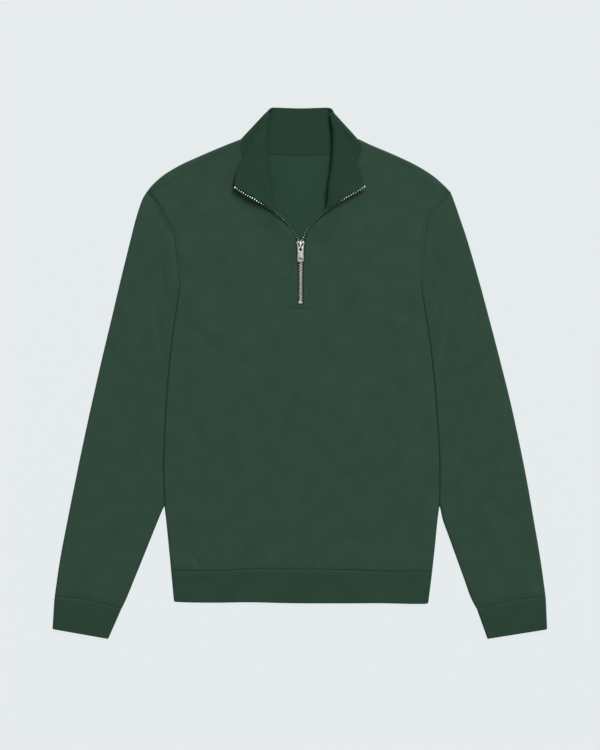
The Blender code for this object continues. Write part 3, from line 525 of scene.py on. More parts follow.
ROLL_STEPS = np.radians((-90, -45, 0, 45, 90))
ROLL_WIDE = 2.8       # how far the roll reaches into the flap, against its radius
ROLL_KEPT = 0.8       # the most of the flap that it takes up
RIB_COLUMNS = 6       # columns of the collar's mesh for each rib
RIB_PITCH = 4.3


def collar_section(row, side):
    """Points of the collar's middle surface from the neck seam to the free edge."""
    sign = side_sign(side)
    more = (row.seam_more, row.roll_more, row.edge_more) if side == "left" else (0, 0, 0)
    seam = np.array([sign * (row.seam_x + more[0]), row.seam_y, row.seam_z])
    edge = np.array([sign * (row.edge_x + more[2]), row.edge_y, row.edge_z])
    roll = np.array([sign * (row.roll_x + more[1]), row.roll_y, 0])
    step = min(0.035, row.roll_at / 4, (1 - row.roll_at) / 4)
    shares = [0] + [row.roll_at + step * k for k in (-2, -1, 0, 1, 2)]
    shares += [(1 + row.roll_at + 2 * step) / 2, 1]
    middle = roll + np.array([0, 0, (seam[2] + edge[2]) / 2 + row.bulge])
    bend = middle - (seam + edge) / 2
    straight = np.array([seam + (edge - seam) * s + bend * 4 * s * (1 - s) for s in shares])
    if not row.rolled:
        return straight
    radius = (edge[2] - seam[2]) / 2
    away = np.array([*unit(roll[:2] - (seam[:2] + edge[:2]) / 2), 0])
    centre = roll + np.array([0, 0, (seam[2] + edge[2]) / 2]) - away * radius
    wide = max(min(ROLL_WIDE * radius, ROLL_KEPT * math.dist(roll[:2], edge[:2])), radius)
    points = [seam]
    for angle in ROLL_STEPS:
        reach = away * (radius - wide * (1 - math.cos(angle)) if angle > 0 else radius * math.cos(angle))
        points.append(centre + reach + np.array([0, 0, radius * math.sin(angle)]))
    points += [(points[-1] + edge) / 2, edge]
    return straight * (1 - row.rolled) + np.array(points) * row.rolled


def collar_lines():
    """Share of the seam at each section, eight lines round the collar from left to right, and its length."""
    left = [collar_section(row, "left") for row in COLLAR[:0:-1]]
    right = [collar_section(row, "right") for row in COLLAR]
    rows = np.array(left + right)
    along = lengths(rows)[:, [0, -1]].mean(1)
    ribs = 2 * round(along[-1] / RIB_PITCH / 2)
    keys = along / along[-1]
    at = np.linspace(0, 1, ribs * RIB_COLUMNS + 1)
    return keys, np.array([through(line, at, keys) for line in np.swapaxes(rows, 0, 1)]), along[-1]


COLLAR_KEYS, COLLAR_LINES, COLLAR_LONG = collar_lines()


def neck_seam(side, first, last):
    """Plane points along the collar's seam between two of its rows."""
    sign = side_sign(side)
    middle = len(COLLAR) - 1
    low, high = sorted((COLLAR_KEYS[middle + sign * first], COLLAR_KEYS[middle + sign * last]))
    shares = np.linspace(0, 1, COLLAR_LINES.shape[1])
    line = COLLAR_LINES[0][(shares >= low) & (shares <= high), :2][::3]
    return line if side == "right" else line[::-1]


# Seams and the height of the upper side

def seam_y(x):
    return smooth(HEM, "seam", x)


def shoulder_place(side, share):
    """Points of the shoulder's silhouette at shares of its number of pieces."""
    line = SHOULDER_LINES[side]
    return between(np.asarray(share, float) * (len(line) - 1), range(len(line)), line)


def wrap_inward(side, share):
    """The way from the shoulder's silhouette into the body."""
    share = np.asarray(share, float)
    after, before = np.minimum(share + 0.013, 1), np.maximum(share - 0.013, 0)
    run = unit(shoulder_place(side, after) - shoulder_place(side, before))
    across = np.stack([run[..., 1], -run[..., 0]], axis=-1) * -side_sign(side)
    turn = np.clip((share - 0.8) / 0.2, 0, 1)[..., None]
    return unit(across * (1 - turn) + np.array([0, -1]) * turn)


def cuff_seam(side, along):
    """Plane points of the seam between sleeve and cuff, from the outer edge to the inner one."""
    along = np.asarray(along, float)[..., None]
    start = edge_point(SLEEVE_OUTER, side, CUFF_SEAM_OUTER_Y)
    end = edge_point(SLEEVE_INNER, side, CUFF_SEAM_INNER_Y)
    return start + (end - start) * along + 4 * along * (1 - along) * CUFF_BOW[side] * np.array([0, 1])


def seam_lines():
    """The seams of the upper side as plane polylines, by name."""
    lines = {}
    for side in BOTH:
        lines["armhole_" + side] = edge_point(ARMHOLE, side, np.linspace(ARMPIT_Y, SHOULDER_Y, 34))
        shares = np.linspace(0, 1, 30)
        deep = smooth(WRAP, side, shares)[:, None]
        lines["shoulder_" + side] = shoulder_place(side, shares) + wrap_inward(side, shares) * deep
        lines["neck_" + side] = neck_seam(side, COLLAR_FIRST_ON_FRONT, len(COLLAR) - 1)
        lines["cuff_" + side] = cuff_seam(side, np.linspace(0, 1, 24))
    x = np.linspace(-SIDES[0].left, SIDES[0].right, 40)
    lines["hem"] = np.stack([x, seam_y(x)], axis=-1)
    return lines


SEAM_LINES = seam_lines()


def sunk_at(points):
    """How far the seams pull the cloth down, less the small waves across them."""
    total = np.zeros(points.shape[:-1])
    for seam in SEAMS:
        line = SEAM_LINES[seam.name]
        gaps, shares = distance_to(line, points)
        turns = shares * lengths(line)[-1] / PUCKER_LONG
        wave = np.sin(2 * math.pi * (turns + 0.35 * np.sin(turns * 1.7)))
        total += seam.deep * np.exp(-gaps / seam.wide) - seam.pucker * wave * np.exp(-((gaps / 9) ** 2))
    return total


def upper(points):
    """Height of the upper side over its flat height."""
    return lift_at(points) + folds_at(points, FOLDS) - sunk_at(points)


def front_top(points):
    """Height of the front's outer face away from the side rolls."""
    rolled = rounded(shoulder_gap(points), ROLL)
    folds = folds_at(points, FOLDS) - sunk_at(points)
    return (LAID + lift_at(points)) / 2 * (1 + rolled) + folds * rolled


# Grids

EDGE_STEPS = (0.45, 0.5, 0.6, 0.8, 1.1, 1.5, 2.1)
PANEL_STEP = 3.4


def spread(length, step=PANEL_STEP, start=True, end=True):
    """Shares from 0 to 1 about step apart, and closer at the ends that are named."""
    fine = np.cumsum((0,) + EDGE_STEPS)
    head = fine if start else np.zeros(1)
    tail = length - fine[::-1] if end else np.full(1, float(length))
    count = max(round((tail[0] - head[-1]) / step), 2)
    between = np.linspace(head[-1], tail[0], count + 1)
    return np.concatenate([head[:-1], between, tail[1:]]) / length


def patch(bottom, top, start, end, across, up):
    """Plane points between four edges: bottom and top run across, start and end run up."""
    u = np.asarray(across)[None, :, None]
    v = np.asarray(up)[:, None, None]
    return (
        (1 - v) * bottom[None]
        + v * top[None]
        + (1 - u) * start[:, None]
        + u * end[:, None]
        - (1 - u) * (1 - v) * bottom[0]
        - u * (1 - v) * bottom[-1]
        - (1 - u) * v * top[0]
        - u * v * top[-1]
    )


def normals_of(grid):
    """Unit normals of a grid of points, up on the whole."""
    normals = unit(np.cross(np.gradient(grid, axis=1), np.gradient(grid, axis=0)))
    return normals * (1 if normals[..., 2].sum() > 0 else -1)


def two_faces(surface, normals, thick, lens, relief=0.0):
    """Both faces of a cloth whose outer face is surface. lens goes to 0 where an edge is thin."""
    lens = np.maximum(lens, FREE_LENS)[..., None]
    relief = np.asarray(relief)[..., None]
    outer = surface + normals * (relief - thick / 2 * (1 - lens))
    return outer, surface - normals * thick / 2 * (1 + lens)


def seam_lens(seams, plan, left=SEAM_LENS):
    """The share of the cloth's thickness that is left near these seams."""
    gaps = np.minimum.reduce([distance_to(seam, plan)[0] for seam in seams])
    return np.maximum(rounded(gaps, CLOTH / 2), left)


def shell(name, outer, inner, finishes, ring=False, kept=None, ridge=None, cloth=None):
    """A closed thin shell between an outer and an inner grid of points.

    kept says which cells exist, ridge is stored for the finish, and cloth is
    each point's place in the cloth.
    """
    rows, columns = outer.shape[:2]
    number = np.arange(rows * columns).reshape(rows, columns)
    cloth = outer[..., :2] if cloth is None else cloth
    if ring:
        number = np.hstack([number, number[:, :1]])
        cloth = np.concatenate([cloth, 2 * cloth[:, -1:] - cloth[:, -2:-1]], axis=1)
    cells = np.ones((rows - 1, number.shape[1] - 1), bool) if kept is None else kept

    def corners(grid):
        return np.stack([grid[:-1, :-1], grid[:-1, 1:], grid[1:, 1:], grid[1:, :-1]], axis=2)[cells]

    outside, places = corners(number), corners(cloth)
    count = rows * columns
    present = np.pad(cells, 1)
    if ring:
        present[:, 0] = present[:, -2]
        present[:, -1] = present[:, 1]
    rims, rim_places = [], []
    for ends, a, b in (
        (present[1:, 1:-1] != present[:-1, 1:-1], (slice(None), slice(-1)), (slice(None), slice(1, None))),
        (present[1:-1, 1:] != present[1:-1, :-1], (slice(-1), slice(None)), (slice(1, None), slice(None))),
    ):
        low, high = number[a][ends], number[b][ends]
        rims.append(np.stack([low, high, high + count, low + count], axis=1))
        rim_places.append(np.stack([cloth[a][ends], cloth[b][ends], cloth[b][ends], cloth[a][ends]], axis=1))
    faces = np.concatenate([outside, outside[:, ::-1] + count, *rims])
    places = np.concatenate([places, places[:, ::-1], *rim_places])
    slots = np.zeros(len(faces), int)
    slots[len(outside) : 2 * len(outside)] = 1 if len(finishes) > 1 else 0

    mesh = bpy.data.meshes.new(name)
    points = np.concatenate([outer.reshape(-1, 3), inner.reshape(-1, 3)]) * MM
    mesh.from_pydata(points.tolist(), [], faces.tolist())
    for finish in finishes:
        mesh.materials.append(finish)
    mesh.polygons.foreach_set("material_index", slots)
    places = (places / MAP_UNIT).astype(np.float32)
    mesh.uv_layers.new(name=CLOTH_MAP).uv.foreach_set("vector", places.ravel())
    if ridge is not None:
        stored = mesh.attributes.new("ridge", "FLOAT", "POINT")
        stored.data.foreach_set("value", np.tile(ridge.ravel(), 2).astype(np.float32))
    return placed(name, mesh, 60)


def placed(name, mesh, sharp):
    """An object of a mesh, with its normals out and edges above the angle kept sharp."""
    form = bmesh.new()
    form.from_mesh(mesh)
    loose = [vertex for vertex in form.verts if not vertex.link_faces]
    bmesh.ops.delete(form, geom=loose, context="VERTS")
    bmesh.ops.recalc_face_normals(form, faces=form.faces)
    form.to_mesh(mesh)
    form.free()
    mesh.shade_smooth()
    mesh.set_sharp_from_angle(angle=math.radians(sharp))
    made = bpy.data.objects.new(name, mesh)
    bpy.context.scene.collection.objects.link(made)
    return made


def dress(made, slot, *nodes, body=GARMENT):
    """Ties a piece to its body and to the nodes that it stands for. The slot is not used."""
    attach(made, body)
    if nodes:
        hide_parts(*nodes)
    return made


# Front

BELOW_ARMPIT = 430    # length of a panel below the armpit
FRONT_ABOVE = 230     # length of the front above it
FRONT_STEP = 2.7      # from row to row there
BACK_ABOVE = 190      # length of the back above it
ARMPIT_SHARE = 0.7    # of the way up that is below the armpit
ARMPIT_OPENS = 30.0   # the side roll fades out over this length above the armpit
ARMHOLE_SPREAD = 0.8
SLIT_ROWS = (0, 0.26, 0.48, 0.57, 0.65, 0.72, 0.79, 0.86, 0.93, 1)
FRONT_NECK = 11       # parts of the way up beside the collar, against those of the slit
SIDE_ROLL = np.radians(np.linspace(0, 90, 9))   # angles of the side roll at its columns


def from_side(half, step=PANEL_STEP):
    """Shares of a half width, close together over the side roll and at the far end."""
    flat = ROLL + (half - ROLL) * spread(half - ROLL, step, start=False)
    return np.concatenate([ROLL * (1 - np.cos(SIDE_ROLL[:-1])), flat]) / half


def way_up(below, above):
    """Shares of the way up a panel, of those below the armpit and of those above it."""
    return np.concatenate([below * ARMPIT_SHARE, ARMPIT_SHARE + (1 - ARMPIT_SHARE) * above[1:]])


def side_edge(side, top_y, up):
    """The body's edge from the hem seam to the armpit and along the armhole."""
    low = seam_y(side_sign(side) * SIDES[0].left)
    below = edge_point(SIDES, side, low + (ARMPIT_Y - low) * np.minimum(up / ARMPIT_SHARE, 1))
    share = np.maximum((up - ARMPIT_SHARE) / (1 - ARMPIT_SHARE), 0) ** ARMHOLE_SPREAD
    above = edge_point(ARMHOLE, side, ARMPIT_Y + (top_y - ARMPIT_Y) * share)
    return np.where((up <= ARMPIT_SHARE)[:, None], below, above)


def zip_side(side):
    """The rows of the zip's table for one side."""
    if side == "right":
        return ZIP
    return [row._replace(x=row.x + row.left_x, y=row.y + row.left_y) for row in ZIP]


def zip_rows(side):
    """Centre, way to the cloth, level way and named values at each row of the zip's table."""
    sign = side_sign(side)
    rows = zip_side(side)
    centres = np.array([(sign * row.x, row.y, row.z) for row in rows])
    places = []
    for centre, run, row in zip(centres, np.gradient(centres, axis=0), rows):
        level = unit(np.array([run[1], -run[0], 0]) * sign)
        turn = math.radians(row.turn)
        cross = level * math.cos(turn) - np.array([0, 0, math.sin(turn)])
        places.append((centre, cross, level, row))
    return places


def slit_points(side):
    """Plane points of the front's edge beside the zip, from the slit's end to the neck seam."""
    sign = side_sign(side)
    points = [(sign * row.half, row.y, 0) for row in SLIT]
    for centre, cross, level, row in zip_rows(side)[FIRST_OPEN + 1 : CORNER + 1]:
        place = centre + cross * CLOTH_AT + level * math.sin(math.radians(row.turn))
        points.append((place[0], place[1], 0))
    return points


def side_roll(edge, columns):
    """How level and how upright the cloth is over a panel's grid, by its roll at the side."""
    opened = smoothstep((edge[:, 1] - ARMPIT_Y + 2) / ARMPIT_OPENS)[:, None]
    angles = np.full((len(edge), columns), math.pi / 2)
    angles[:, : len(SIDE_ROLL)] = SIDE_ROLL + (math.pi / 2 - SIDE_ROLL) * opened
    return np.sin(angles), np.cos(angles)


def front_plan(side):
    """Plane points of half the front, columns from the side to the slit, and its edge beside the zip."""
    sign = side_sign(side)
    across = from_side(SIDES[0].left)
    below = spread(BELOW_ARMPIT)
    up = way_up(below, spread(FRONT_ABOVE, FRONT_STEP, start=False))
    rows_below = len(below)

    top = shoulder_place(side, across) + wrap_inward(side, across) * smooth(WRAP, side, across)[:, None]
    edge = side_edge(side, top[0][1], up)
    edge[-1] = top[0]
    slit_low = np.array([sign * SLIT_HALF, seam_y(sign * SLIT_HALF)])
    slit = through(slit_points(side), np.linspace(0, 1, 60))[:, :2]
    neck = neck_seam(side, COLLAR_FIRST_ON_FRONT, len(COLLAR) - 1)
    neck = neck[neck[:, 1] < top[-1][1] - 2]
    neck = np.vstack([top[-1:], neck[:-1], slit[-1:]])[::-1]
    slit_parts = len(SLIT_ROWS) - 1
    at = (up[rows_below:] - ARMPIT_SHARE) / (1 - ARMPIT_SHARE) * (slit_parts + FRONT_NECK)
    on_slit = through(slit_points(side), np.interp(at, range(slit_parts + 1), SLIT_ROWS))[:, :2]
    on_neck = resample(neck, np.clip((at - slit_parts) / FRONT_NECK, 0, 1))
    middle = [slit_low + (slit[0] - slit_low) * v for v in below]
    middle = np.vstack([middle, np.where((at <= slit_parts)[:, None], on_slit, on_neck)])
    x = edge[0][0] + (slit_low[0] - edge[0][0]) * across
    bottom = np.stack([x, seam_y(x)], axis=-1)
    return patch(bottom, top, edge, middle, across, up), edge, slit, rows_below


def build_front(outside, inside):
    halves = {}
    for side in BOTH:
        plan, edge, slit, rows_below = front_plan(side)
        level, lying = side_roll(edge, plan.shape[1])
        z = front_top(plan) * (1 + level) / 2
        surface = np.dstack([plan, z])
        out = np.array([side_sign(side), 0, 0])
        normals = unit(normals_of(surface) * level[..., None] + out * lying[..., None])
        seams = [SEAM_LINES[name] for name in ("neck_" + side, "armhole_" + side, "hem")]
        lens = np.minimum(rounded(distance_to(slit, plan)[0], CLOTH / 2), seam_lens(seams, plan))
        lens = np.minimum(lens, seam_lens([SEAM_LINES["shoulder_" + side]], plan, FLAT_LENS))
        lens = np.where(lying > 0.02, 1, lens)
        halves[side] = two_faces(surface, normals, CLOTH, lens)
    joined = []
    for k in range(2):
        left, right = halves["left"][k], halves["right"][k]
        bridge = [left[:, -1] + (right[:, -1] - left[:, -1]) * t for t in (0.25, 0.5, 0.75)]
        joined.append(np.concatenate([left, np.stack(bridge, axis=1), right[:, ::-1]], axis=1))
    middle = halves["left"][0].shape[1] - 1
    kept = np.ones((joined[0].shape[0] - 1, joined[0].shape[1] - 1), bool)
    kept[rows_below - 1 :, middle : middle + 4] = False
    made = shell("front_panel", joined[0], joined[1], (outside, inside), kept=kept)
    return dress(made, "fleece", "front")


# Back

BACK_STEP = 4.0
BACK_NECK = 80        # half of the back's neck seam
SHOULDER_SHARE = 0.6  # of half the back's width that leads up to a shoulder


def back_half(side):
    """Outer and inner points of half the back, columns from the side to the middle."""
    fold = from_side(SIDES[0].left * SHOULDER_SHARE, BACK_STEP)
    corner = len(fold) - 1
    neck_part = spread(BACK_NECK, BACK_STEP, end=False)
    across = np.concatenate([fold * SHOULDER_SHARE, SHOULDER_SHARE + (1 - SHOULDER_SHARE) * neck_part[1:]])
    up = way_up(spread(BELOW_ARMPIT, BACK_STEP, end=False), spread(BACK_ABOVE, BACK_STEP, start=False))

    places, inward = shoulder_place(side, fold), wrap_inward(side, fold)
    top = places + inward * ROLL
    neck = np.vstack([neck_seam(side, 0, 3), top[-1:]])[::-1]
    top = np.vstack([top, resample(neck, neck_part[1:])])
    edge = side_edge(side, top[0][1], up)
    edge[-1] = top[0]
    low = np.array([0, seam_y(0)])
    middle = low + (top[-1] - low) * up[:, None]
    x = edge[0][0] * (1 - across)
    bottom = np.stack([x, seam_y(x)], axis=-1)
    plan = patch(bottom, top, edge, middle, across, up)

    level, lying = side_roll(edge, plan.shape[1])
    lens = seam_lens([SEAM_LINES["armhole_" + side], SEAM_LINES["hem"]], plan)
    lens = np.minimum(lens, seam_lens([neck], plan, FLAT_LENS))
    lens = np.where(lying > 0.02, 1, lens)
    rise = folds_at(plan, HOLLOWS) * level
    thin = CLOTH / 2 * (1 - lens) * level
    outer = np.dstack([plan, LAID * (1 - level) / 2 + rise + thin])
    inner = np.dstack([plan, LAID * (1 - level) / 2 + rise + CLOTH * level - thin])
    inner[..., 0] -= side_sign(side) * lying * CLOTH

    outer, inner = list(outer), list(inner)
    clamp = np.minimum(np.arange(len(across)), corner)
    places, inward, share = places[clamp], inward[clamp], fold[clamp]
    wide = smooth(WRAP, side, share)
    height = LAID + lift_at(places)
    for angle in np.radians((-67.5, -45, -22.5, 0, 22.5, 45, 67.5)):
        deep = ROLL * (1 - math.cos(angle))
        at = places + inward * deep
        z = height / 2 * (1 + math.sin(angle))
        lying = np.minimum(math.cos(angle) * CLOTH, wide - deep)
        outer.append(np.column_stack([at, z]))
        inner.append(np.column_stack([at + inward * lying[:, None], z - math.sin(angle) * CLOTH]))
    for part in np.concatenate([np.linspace(0, 0.75, 5), (0.84, 0.91, 0.96, 1)]):
        start = np.minimum(ROLL, wide * 0.8)
        deep = start + (wide - start) * part
        at = places + inward * deep[:, None]
        lens = np.maximum(rounded(wide - deep, CLOTH / 2), FLAT_LENS)
        z = front_top(at)
        outer.append(np.column_stack([at, z - CLOTH / 2 * (1 - lens)]))
        inner.append(np.column_stack([at, z - CLOTH / 2 * (1 + lens)]))
    return np.array(outer), np.array(inner), corner, len(up)


def build_back(outside, inside):
    left_outer, left_inner, corner, flat_rows = back_half("left")
    right_outer, right_inner, _, _ = back_half("right")
    outer = np.concatenate([left_outer, right_outer[:, -2::-1]], axis=1)
    inner = np.concatenate([left_inner, right_inner[:, -2::-1]], axis=1)
    kept = np.ones((outer.shape[0] - 1, outer.shape[1] - 1), bool)
    kept[flat_rows - 1 :, corner : outer.shape[1] - 1 - corner] = False
    made = shell("back_panel", outer, inner, (outside, inside), kept=kept)
    return dress(made, "fleece", "back")


# Sleeves, cuffs and hem band

def reach_of(path):
    """Distance between a path's ends."""
    return np.linalg.norm(path(np.array(1.0)) - path(np.array(0.0)))


def round_places(path, height, roll, q):
    """Places round a flattened tube: outer points, normals and level.

    q goes from 0 to 4: over the roll at the path's start, the upper side, the
    roll at its end and the underside.
    """
    edge = roll / reach_of(path)
    part = np.floor(q).astype(int) % 4
    t = q - np.floor(q)
    flat = np.full_like(t, math.pi / 2)
    angle = np.choose(part, [(t - 0.5) * math.pi, flat, (0.5 - t) * math.pi, -flat])
    bend = edge * (1 - np.cos(angle))
    share = np.choose(part, [bend, edge + (1 - 2 * edge) * t, 1 - bend, 1 - edge - (1 - 2 * edge) * t])
    end = np.choose(part, [-1, 0, 1, 0])
    at = path(share)
    out = unit(path(np.minimum(share + 0.01, 1)) - path(np.maximum(share - 0.01, 0))) * end[:, None]
    level, lying = np.sin(angle), np.cos(angle)
    points = np.column_stack([at, height / 2 * (1 + level)])
    normals = unit(np.column_stack([out * lying[:, None], level]))
    return points, normals, level


def girth_stops(path, height, roll):
    """Lengths round a flattened tube at the whole values of q."""
    flat = reach_of(path) - 2 * roll
    bend = math.pi * (roll + height / 2) / 2
    return np.cumsum([0, bend, flat, bend, flat])


def tube(paths, height, roll, q_at):
    """Points, normals and level of a tube with a ring for each path. q_at gives the q of its points."""
    rings = [round_places(path, height, roll, q_at(path)) for path in paths]
    return (np.array([ring[k] for ring in rings]) for k in range(3))


def sleeve_path(side, share):
    """The line in the plane that a sleeve's section follows, this share of the way to the cuff."""
    outer_y = SHOULDER_Y + (CUFF_SEAM_OUTER_Y - SHOULDER_Y) * share
    inner_y = ARMPIT_Y + (CUFF_SEAM_INNER_Y - ARMPIT_Y) * share
    start = edge_point(SLEEVE_OUTER, side, outer_y)
    if inner_y < PARTING_Y:
        end = edge_point(SLEEVE_INNER, side, inner_y)
    else:
        end = edge_point(SIDES, side, inner_y) - np.array([side_sign(side) * SIDE_PRESS, 0])
    fade = max(1 - share / 0.3, 0) ** 2
    tuck = np.array([-side_sign(side), 1]) * TUCK
    rise = CUFF_BOW[side] * max((share - 0.7) / 0.3, 0) ** 2
    armhole_start = edge_point(ARMHOLE, side, SHOULDER_Y)
    armhole_end = edge_point(ARMHOLE, side, ARMPIT_Y)

    def path(along):
        along = np.clip(along, 0, 1)
        y = SHOULDER_Y + (ARMPIT_Y - SHOULDER_Y) * along
        bow = edge_point(ARMHOLE, side, y) - armhole_start - (armhole_end - armhole_start) * along[..., None]
        arch = 4 * along * (1 - along) * rise
        return start + (end - start) * along[..., None] + (bow + tuck) * fade + arch[..., None] * (0, 1)

    return path


def settled(points, level):
    """Points of a laid tube with the folds of its upper side and the hollows of its underside."""
    plan = points[..., :2]
    rise = upper(plan) * np.maximum(level, 0) ** 2 + folds_at(plan, HOLLOWS) * np.maximum(-level, 0)
    return points + rise[..., None] * (0, 0, 1)


SLEEVE_LONG = 640     # from the armhole to the cuff
SLEEVE_STEP = 4.0


def build_sleeve(side, outside, inside):
    shares = spread(SLEEVE_LONG, SLEEVE_STEP)
    bend = np.linspace(0, 1, 9)[:-1]
    top, low = np.linspace(0, 1, 50)[:-1], np.linspace(0, 1, 34)[:-1]
    q = np.concatenate([bend, 1 + top, 2 + bend, 3 + low])
    paths = [sleeve_path(side, share) for share in shares]
    points, normals, level = tube(paths, LAID, ROLL, lambda path: q)
    lens = np.maximum(rounded(np.minimum(shares, 1 - shares) * SLEEVE_LONG, CLOTH / 2), SEAM_LENS)
    lens = np.broadcast_to(lens[:, None], level.shape)
    outer, inner = two_faces(settled(points, level), normals, CLOTH, lens)
    stops = [girth_stops(path, LAID, ROLL) for path in paths]
    girth = [np.interp(q, range(5), stop) - (stop[1] + stop[2]) / 2 for stop in stops]
    cloth = np.dstack(np.broadcast_arrays(girth, shares[:, None] * -SLEEVE_LONG))
    made = shell(f"sleeve_panel_{side}", outer, inner, (outside, inside), ring=True, cloth=cloth)
    return dress(made, "fleece", f"sleeve_{side}")


BAND_LONG = 48        # depth of cuffs and hem band
CUFF_PLAIN = 1.5      # length beside the seam where the cuffs' ribs are pressed flat
HEM_PLAIN = 7.0       # the same on the hem band
RIB_ROLL = 3.7        # the roll's radius on ribbed tubes
RIB_STEPS = 8         # columns of cuffs and hem band for each rib
RIB_ROW = 4.5         # from row to row
GATHER = 4.0          # length over which the ribs open out of a seam
EDGE_GATHER = 3.0     # the same at a folded edge
PRESSED = 0.7         # height of ribs that are pressed flat, against that of a ridge


def rib_height(turns):
    """Height of a rib's section: round ridges with narrow furrows between them."""
    return np.abs(np.sin(math.pi * turns)) ** 0.75


def pressed_ribs(turns, opened):
    """Heights of ribs that go from nearly flat, where opened is 0, to full at 1."""
    return PRESSED + (rib_height(turns)[None] - PRESSED) * (0.2 + 0.8 * opened[:, None])


def build_ribbed(name, node, path_at, long, plain, settings, finish):
    """A ribbed tube from its seam down to its folded edge. path_at(share) gives its line in the plane.

    The ribs are pressed flat over the length plain beside the seam.
    """
    pitch, relief = settings.rib_pitch / MM, settings.rib_relief / MM
    shares = spread(long, RIB_ROW)
    girth = girth_stops(path_at(0.0), RIB_LAID, RIB_ROLL)[-1]
    ribs = round(girth / pitch)
    turns = np.arange(ribs * RIB_STEPS) / RIB_STEPS

    def q_at(path):
        stops = girth_stops(path, RIB_LAID, RIB_ROLL)
        return np.interp(turns / ribs * stops[-1], stops, range(5))

    points, normals, level = tube([path_at(share) for share in shares], RIB_LAID, RIB_ROLL, q_at)
    waves = upper(points[..., :2]) * np.maximum(level, 0) ** 2
    surface = points + waves[..., None] * (0, 0, 1)
    opened = smoothstep((shares * long - plain) / GATHER) * smoothstep((1 - shares) * long / EDGE_GATHER)
    height = pressed_ribs(turns, opened)
    raised = relief * (height - (1 - level) / 2)
    lens = np.maximum(rounded(shares * long, RIB_CLOTH / 2), SEAM_LENS)
    lens = np.minimum(lens, rounded((1 - shares) * long, RIB_CLOTH / 2))
    lens = np.broadcast_to(lens[:, None], level.shape)
    outer, inner = two_faces(surface, normals, RIB_CLOTH, lens, raised)
    cloth = np.dstack(np.broadcast_arrays(turns * pitch, -shares[:, None] * long))
    made = shell(name, outer, inner, (finish,), ring=True, ridge=height, cloth=cloth)
    return dress(made, "rib", node), girth


def cuff_path(side):
    sign = side_sign(side)
    edge = next(row for row in CUFF_EDGE if row.side == side)
    low_start = np.array([sign * edge.outer_x, edge.outer_y])
    low_end = np.array([sign * edge.inner_x, edge.inner_y])

    def path_at(share):
        def path(along):
            high = cuff_seam(side, along) + np.array([0, TUCK])
            low = low_start + (low_end - low_start) * np.asarray(along, float)[..., None]
            return high + (low - high) * share

        return path

    return path_at


def hem_path(share):
    left = SIDES[0].left + (HEM_EDGE_LEFT - SIDES[0].left) * share
    right = SIDES[0].right + (HEM_EDGE_RIGHT - SIDES[0].right) * share

    def path(along):
        x = -left + (left + right) * np.asarray(along)
        top_y, low_y = smooth(HEM, "seam", x) + TUCK, smooth(HEM, "edge", x)
        return np.stack([x, top_y + (low_y - top_y) * share], axis=-1)

    return path


# Line of the zip

class ZipLine:
    """One side of the zip, looked up by the length from a row of its table."""

    def __init__(self, side, first):
        self.sign = side_sign(side)
        rows = zip_side(side)[first:]
        keys = lengths([row[:3] for row in rows])
        self.rows = table("key " + " ".join(ZIP[0]._fields), *[(k, *row) for k, row in zip(keys, rows)])
        self.long = keys[-1]

    def point(self, at):
        return smooth_points(self.rows, at) * (self.sign, 1, 1)

    def value(self, name, at):
        return float(smooth(self.rows, name, at))

    def place(self, at):
        """Centre of the teeth, the way to the cloth, the way along and the way out of the face."""
        run = unit(self.point(min(at + 1, self.long)) - self.point(max(at - 1, 0)))
        level = unit(np.array([run[1], -run[0], 0]) * self.sign)
        turn = math.radians(self.value("turn", at))
        cross = level * math.cos(turn) - np.array([0, 0, math.sin(turn)])
        cross = unit(cross - run * np.dot(cross, run))
        return self.point(at), cross, run, np.cross(run, cross) * self.sign


# Collar

def refined(lines, shares):
    """The eight lines of the collar as one line at each share of the way to the free edge."""
    keys = lengths(lines)
    at = shares[:, None] * keys[-1]
    i = (at[:, None, :] > keys[None, 1:-1, :]).sum(1)
    first, last = (np.take_along_axis(keys, k, 0) for k in (i, i + 1))
    ends = [
        np.take_along_axis(values, k[..., None], 0)
        for values in (lines, slopes_of(keys, lines))
        for k in (i, i + 1)
    ]
    return hermite(((at - first) / (last - first))[..., None], (last - first)[..., None], *ends)


COLLAR_HIGH = 72.0    # from seam to free edge
COLLAR_RELIEF = 0.4   # height of the collar's ribs against that of the others
REACH_STEPS = (0.3, 0.55, 0.75, 0.9, 1)   # shares of the way from an end to its teeth


def to_zip(side, ends):
    """Columns of points from one end of the collar to its teeth."""
    line = ZipLine(side, CORNER)
    places = [line.place(at) for at in np.linspace(0, line.long, 60)]
    beside = np.array([here + cross * COLLAR_AT for here, cross, _, _ in places])
    nearest = np.linalg.norm(ends[:, None] - beside[None], axis=2).argmin(1)
    return ends[:, None] + (beside[nearest] - ends)[:, None] * np.array(REACH_STEPS)[None, :, None]


def collar_grid():
    """Middle surface of the collar, its normals, how thick it is and its ribs."""
    shares = spread(COLLAR_HIGH, 2.6)
    middle = refined(COLLAR_LINES, shares)
    left, right = to_zip("left", middle[:, 0]), to_zip("right", middle[:, -1])
    middle = np.concatenate([left[:, ::-1], middle, right], axis=1)
    normals = unit(np.cross(np.gradient(middle, axis=1), np.gradient(middle, axis=0)))
    turns = (np.arange(middle.shape[1]) - len(REACH_STEPS)) / RIB_COLUMNS
    along = lengths(np.swapaxes(middle, 0, 1)).mean(1)
    ends = rounded(np.minimum(along, along[-1] - along), RIB_CLOTH / 2)
    seam = np.maximum(rounded(shares * COLLAR_HIGH, RIB_CLOTH / 2), FLAT_LENS)
    free = rounded((1 - shares) * COLLAR_HIGH, RIB_CLOTH / 2)
    lens = np.minimum(np.minimum(seam, free)[:, None], ends[None])
    opened = smoothstep(shares * COLLAR_HIGH / GATHER) * smoothstep((1 - shares) * COLLAR_HIGH / EDGE_GATHER)
    height = pressed_ribs(turns, opened)
    return middle, normals, np.maximum(lens, FREE_LENS), height, along, shares


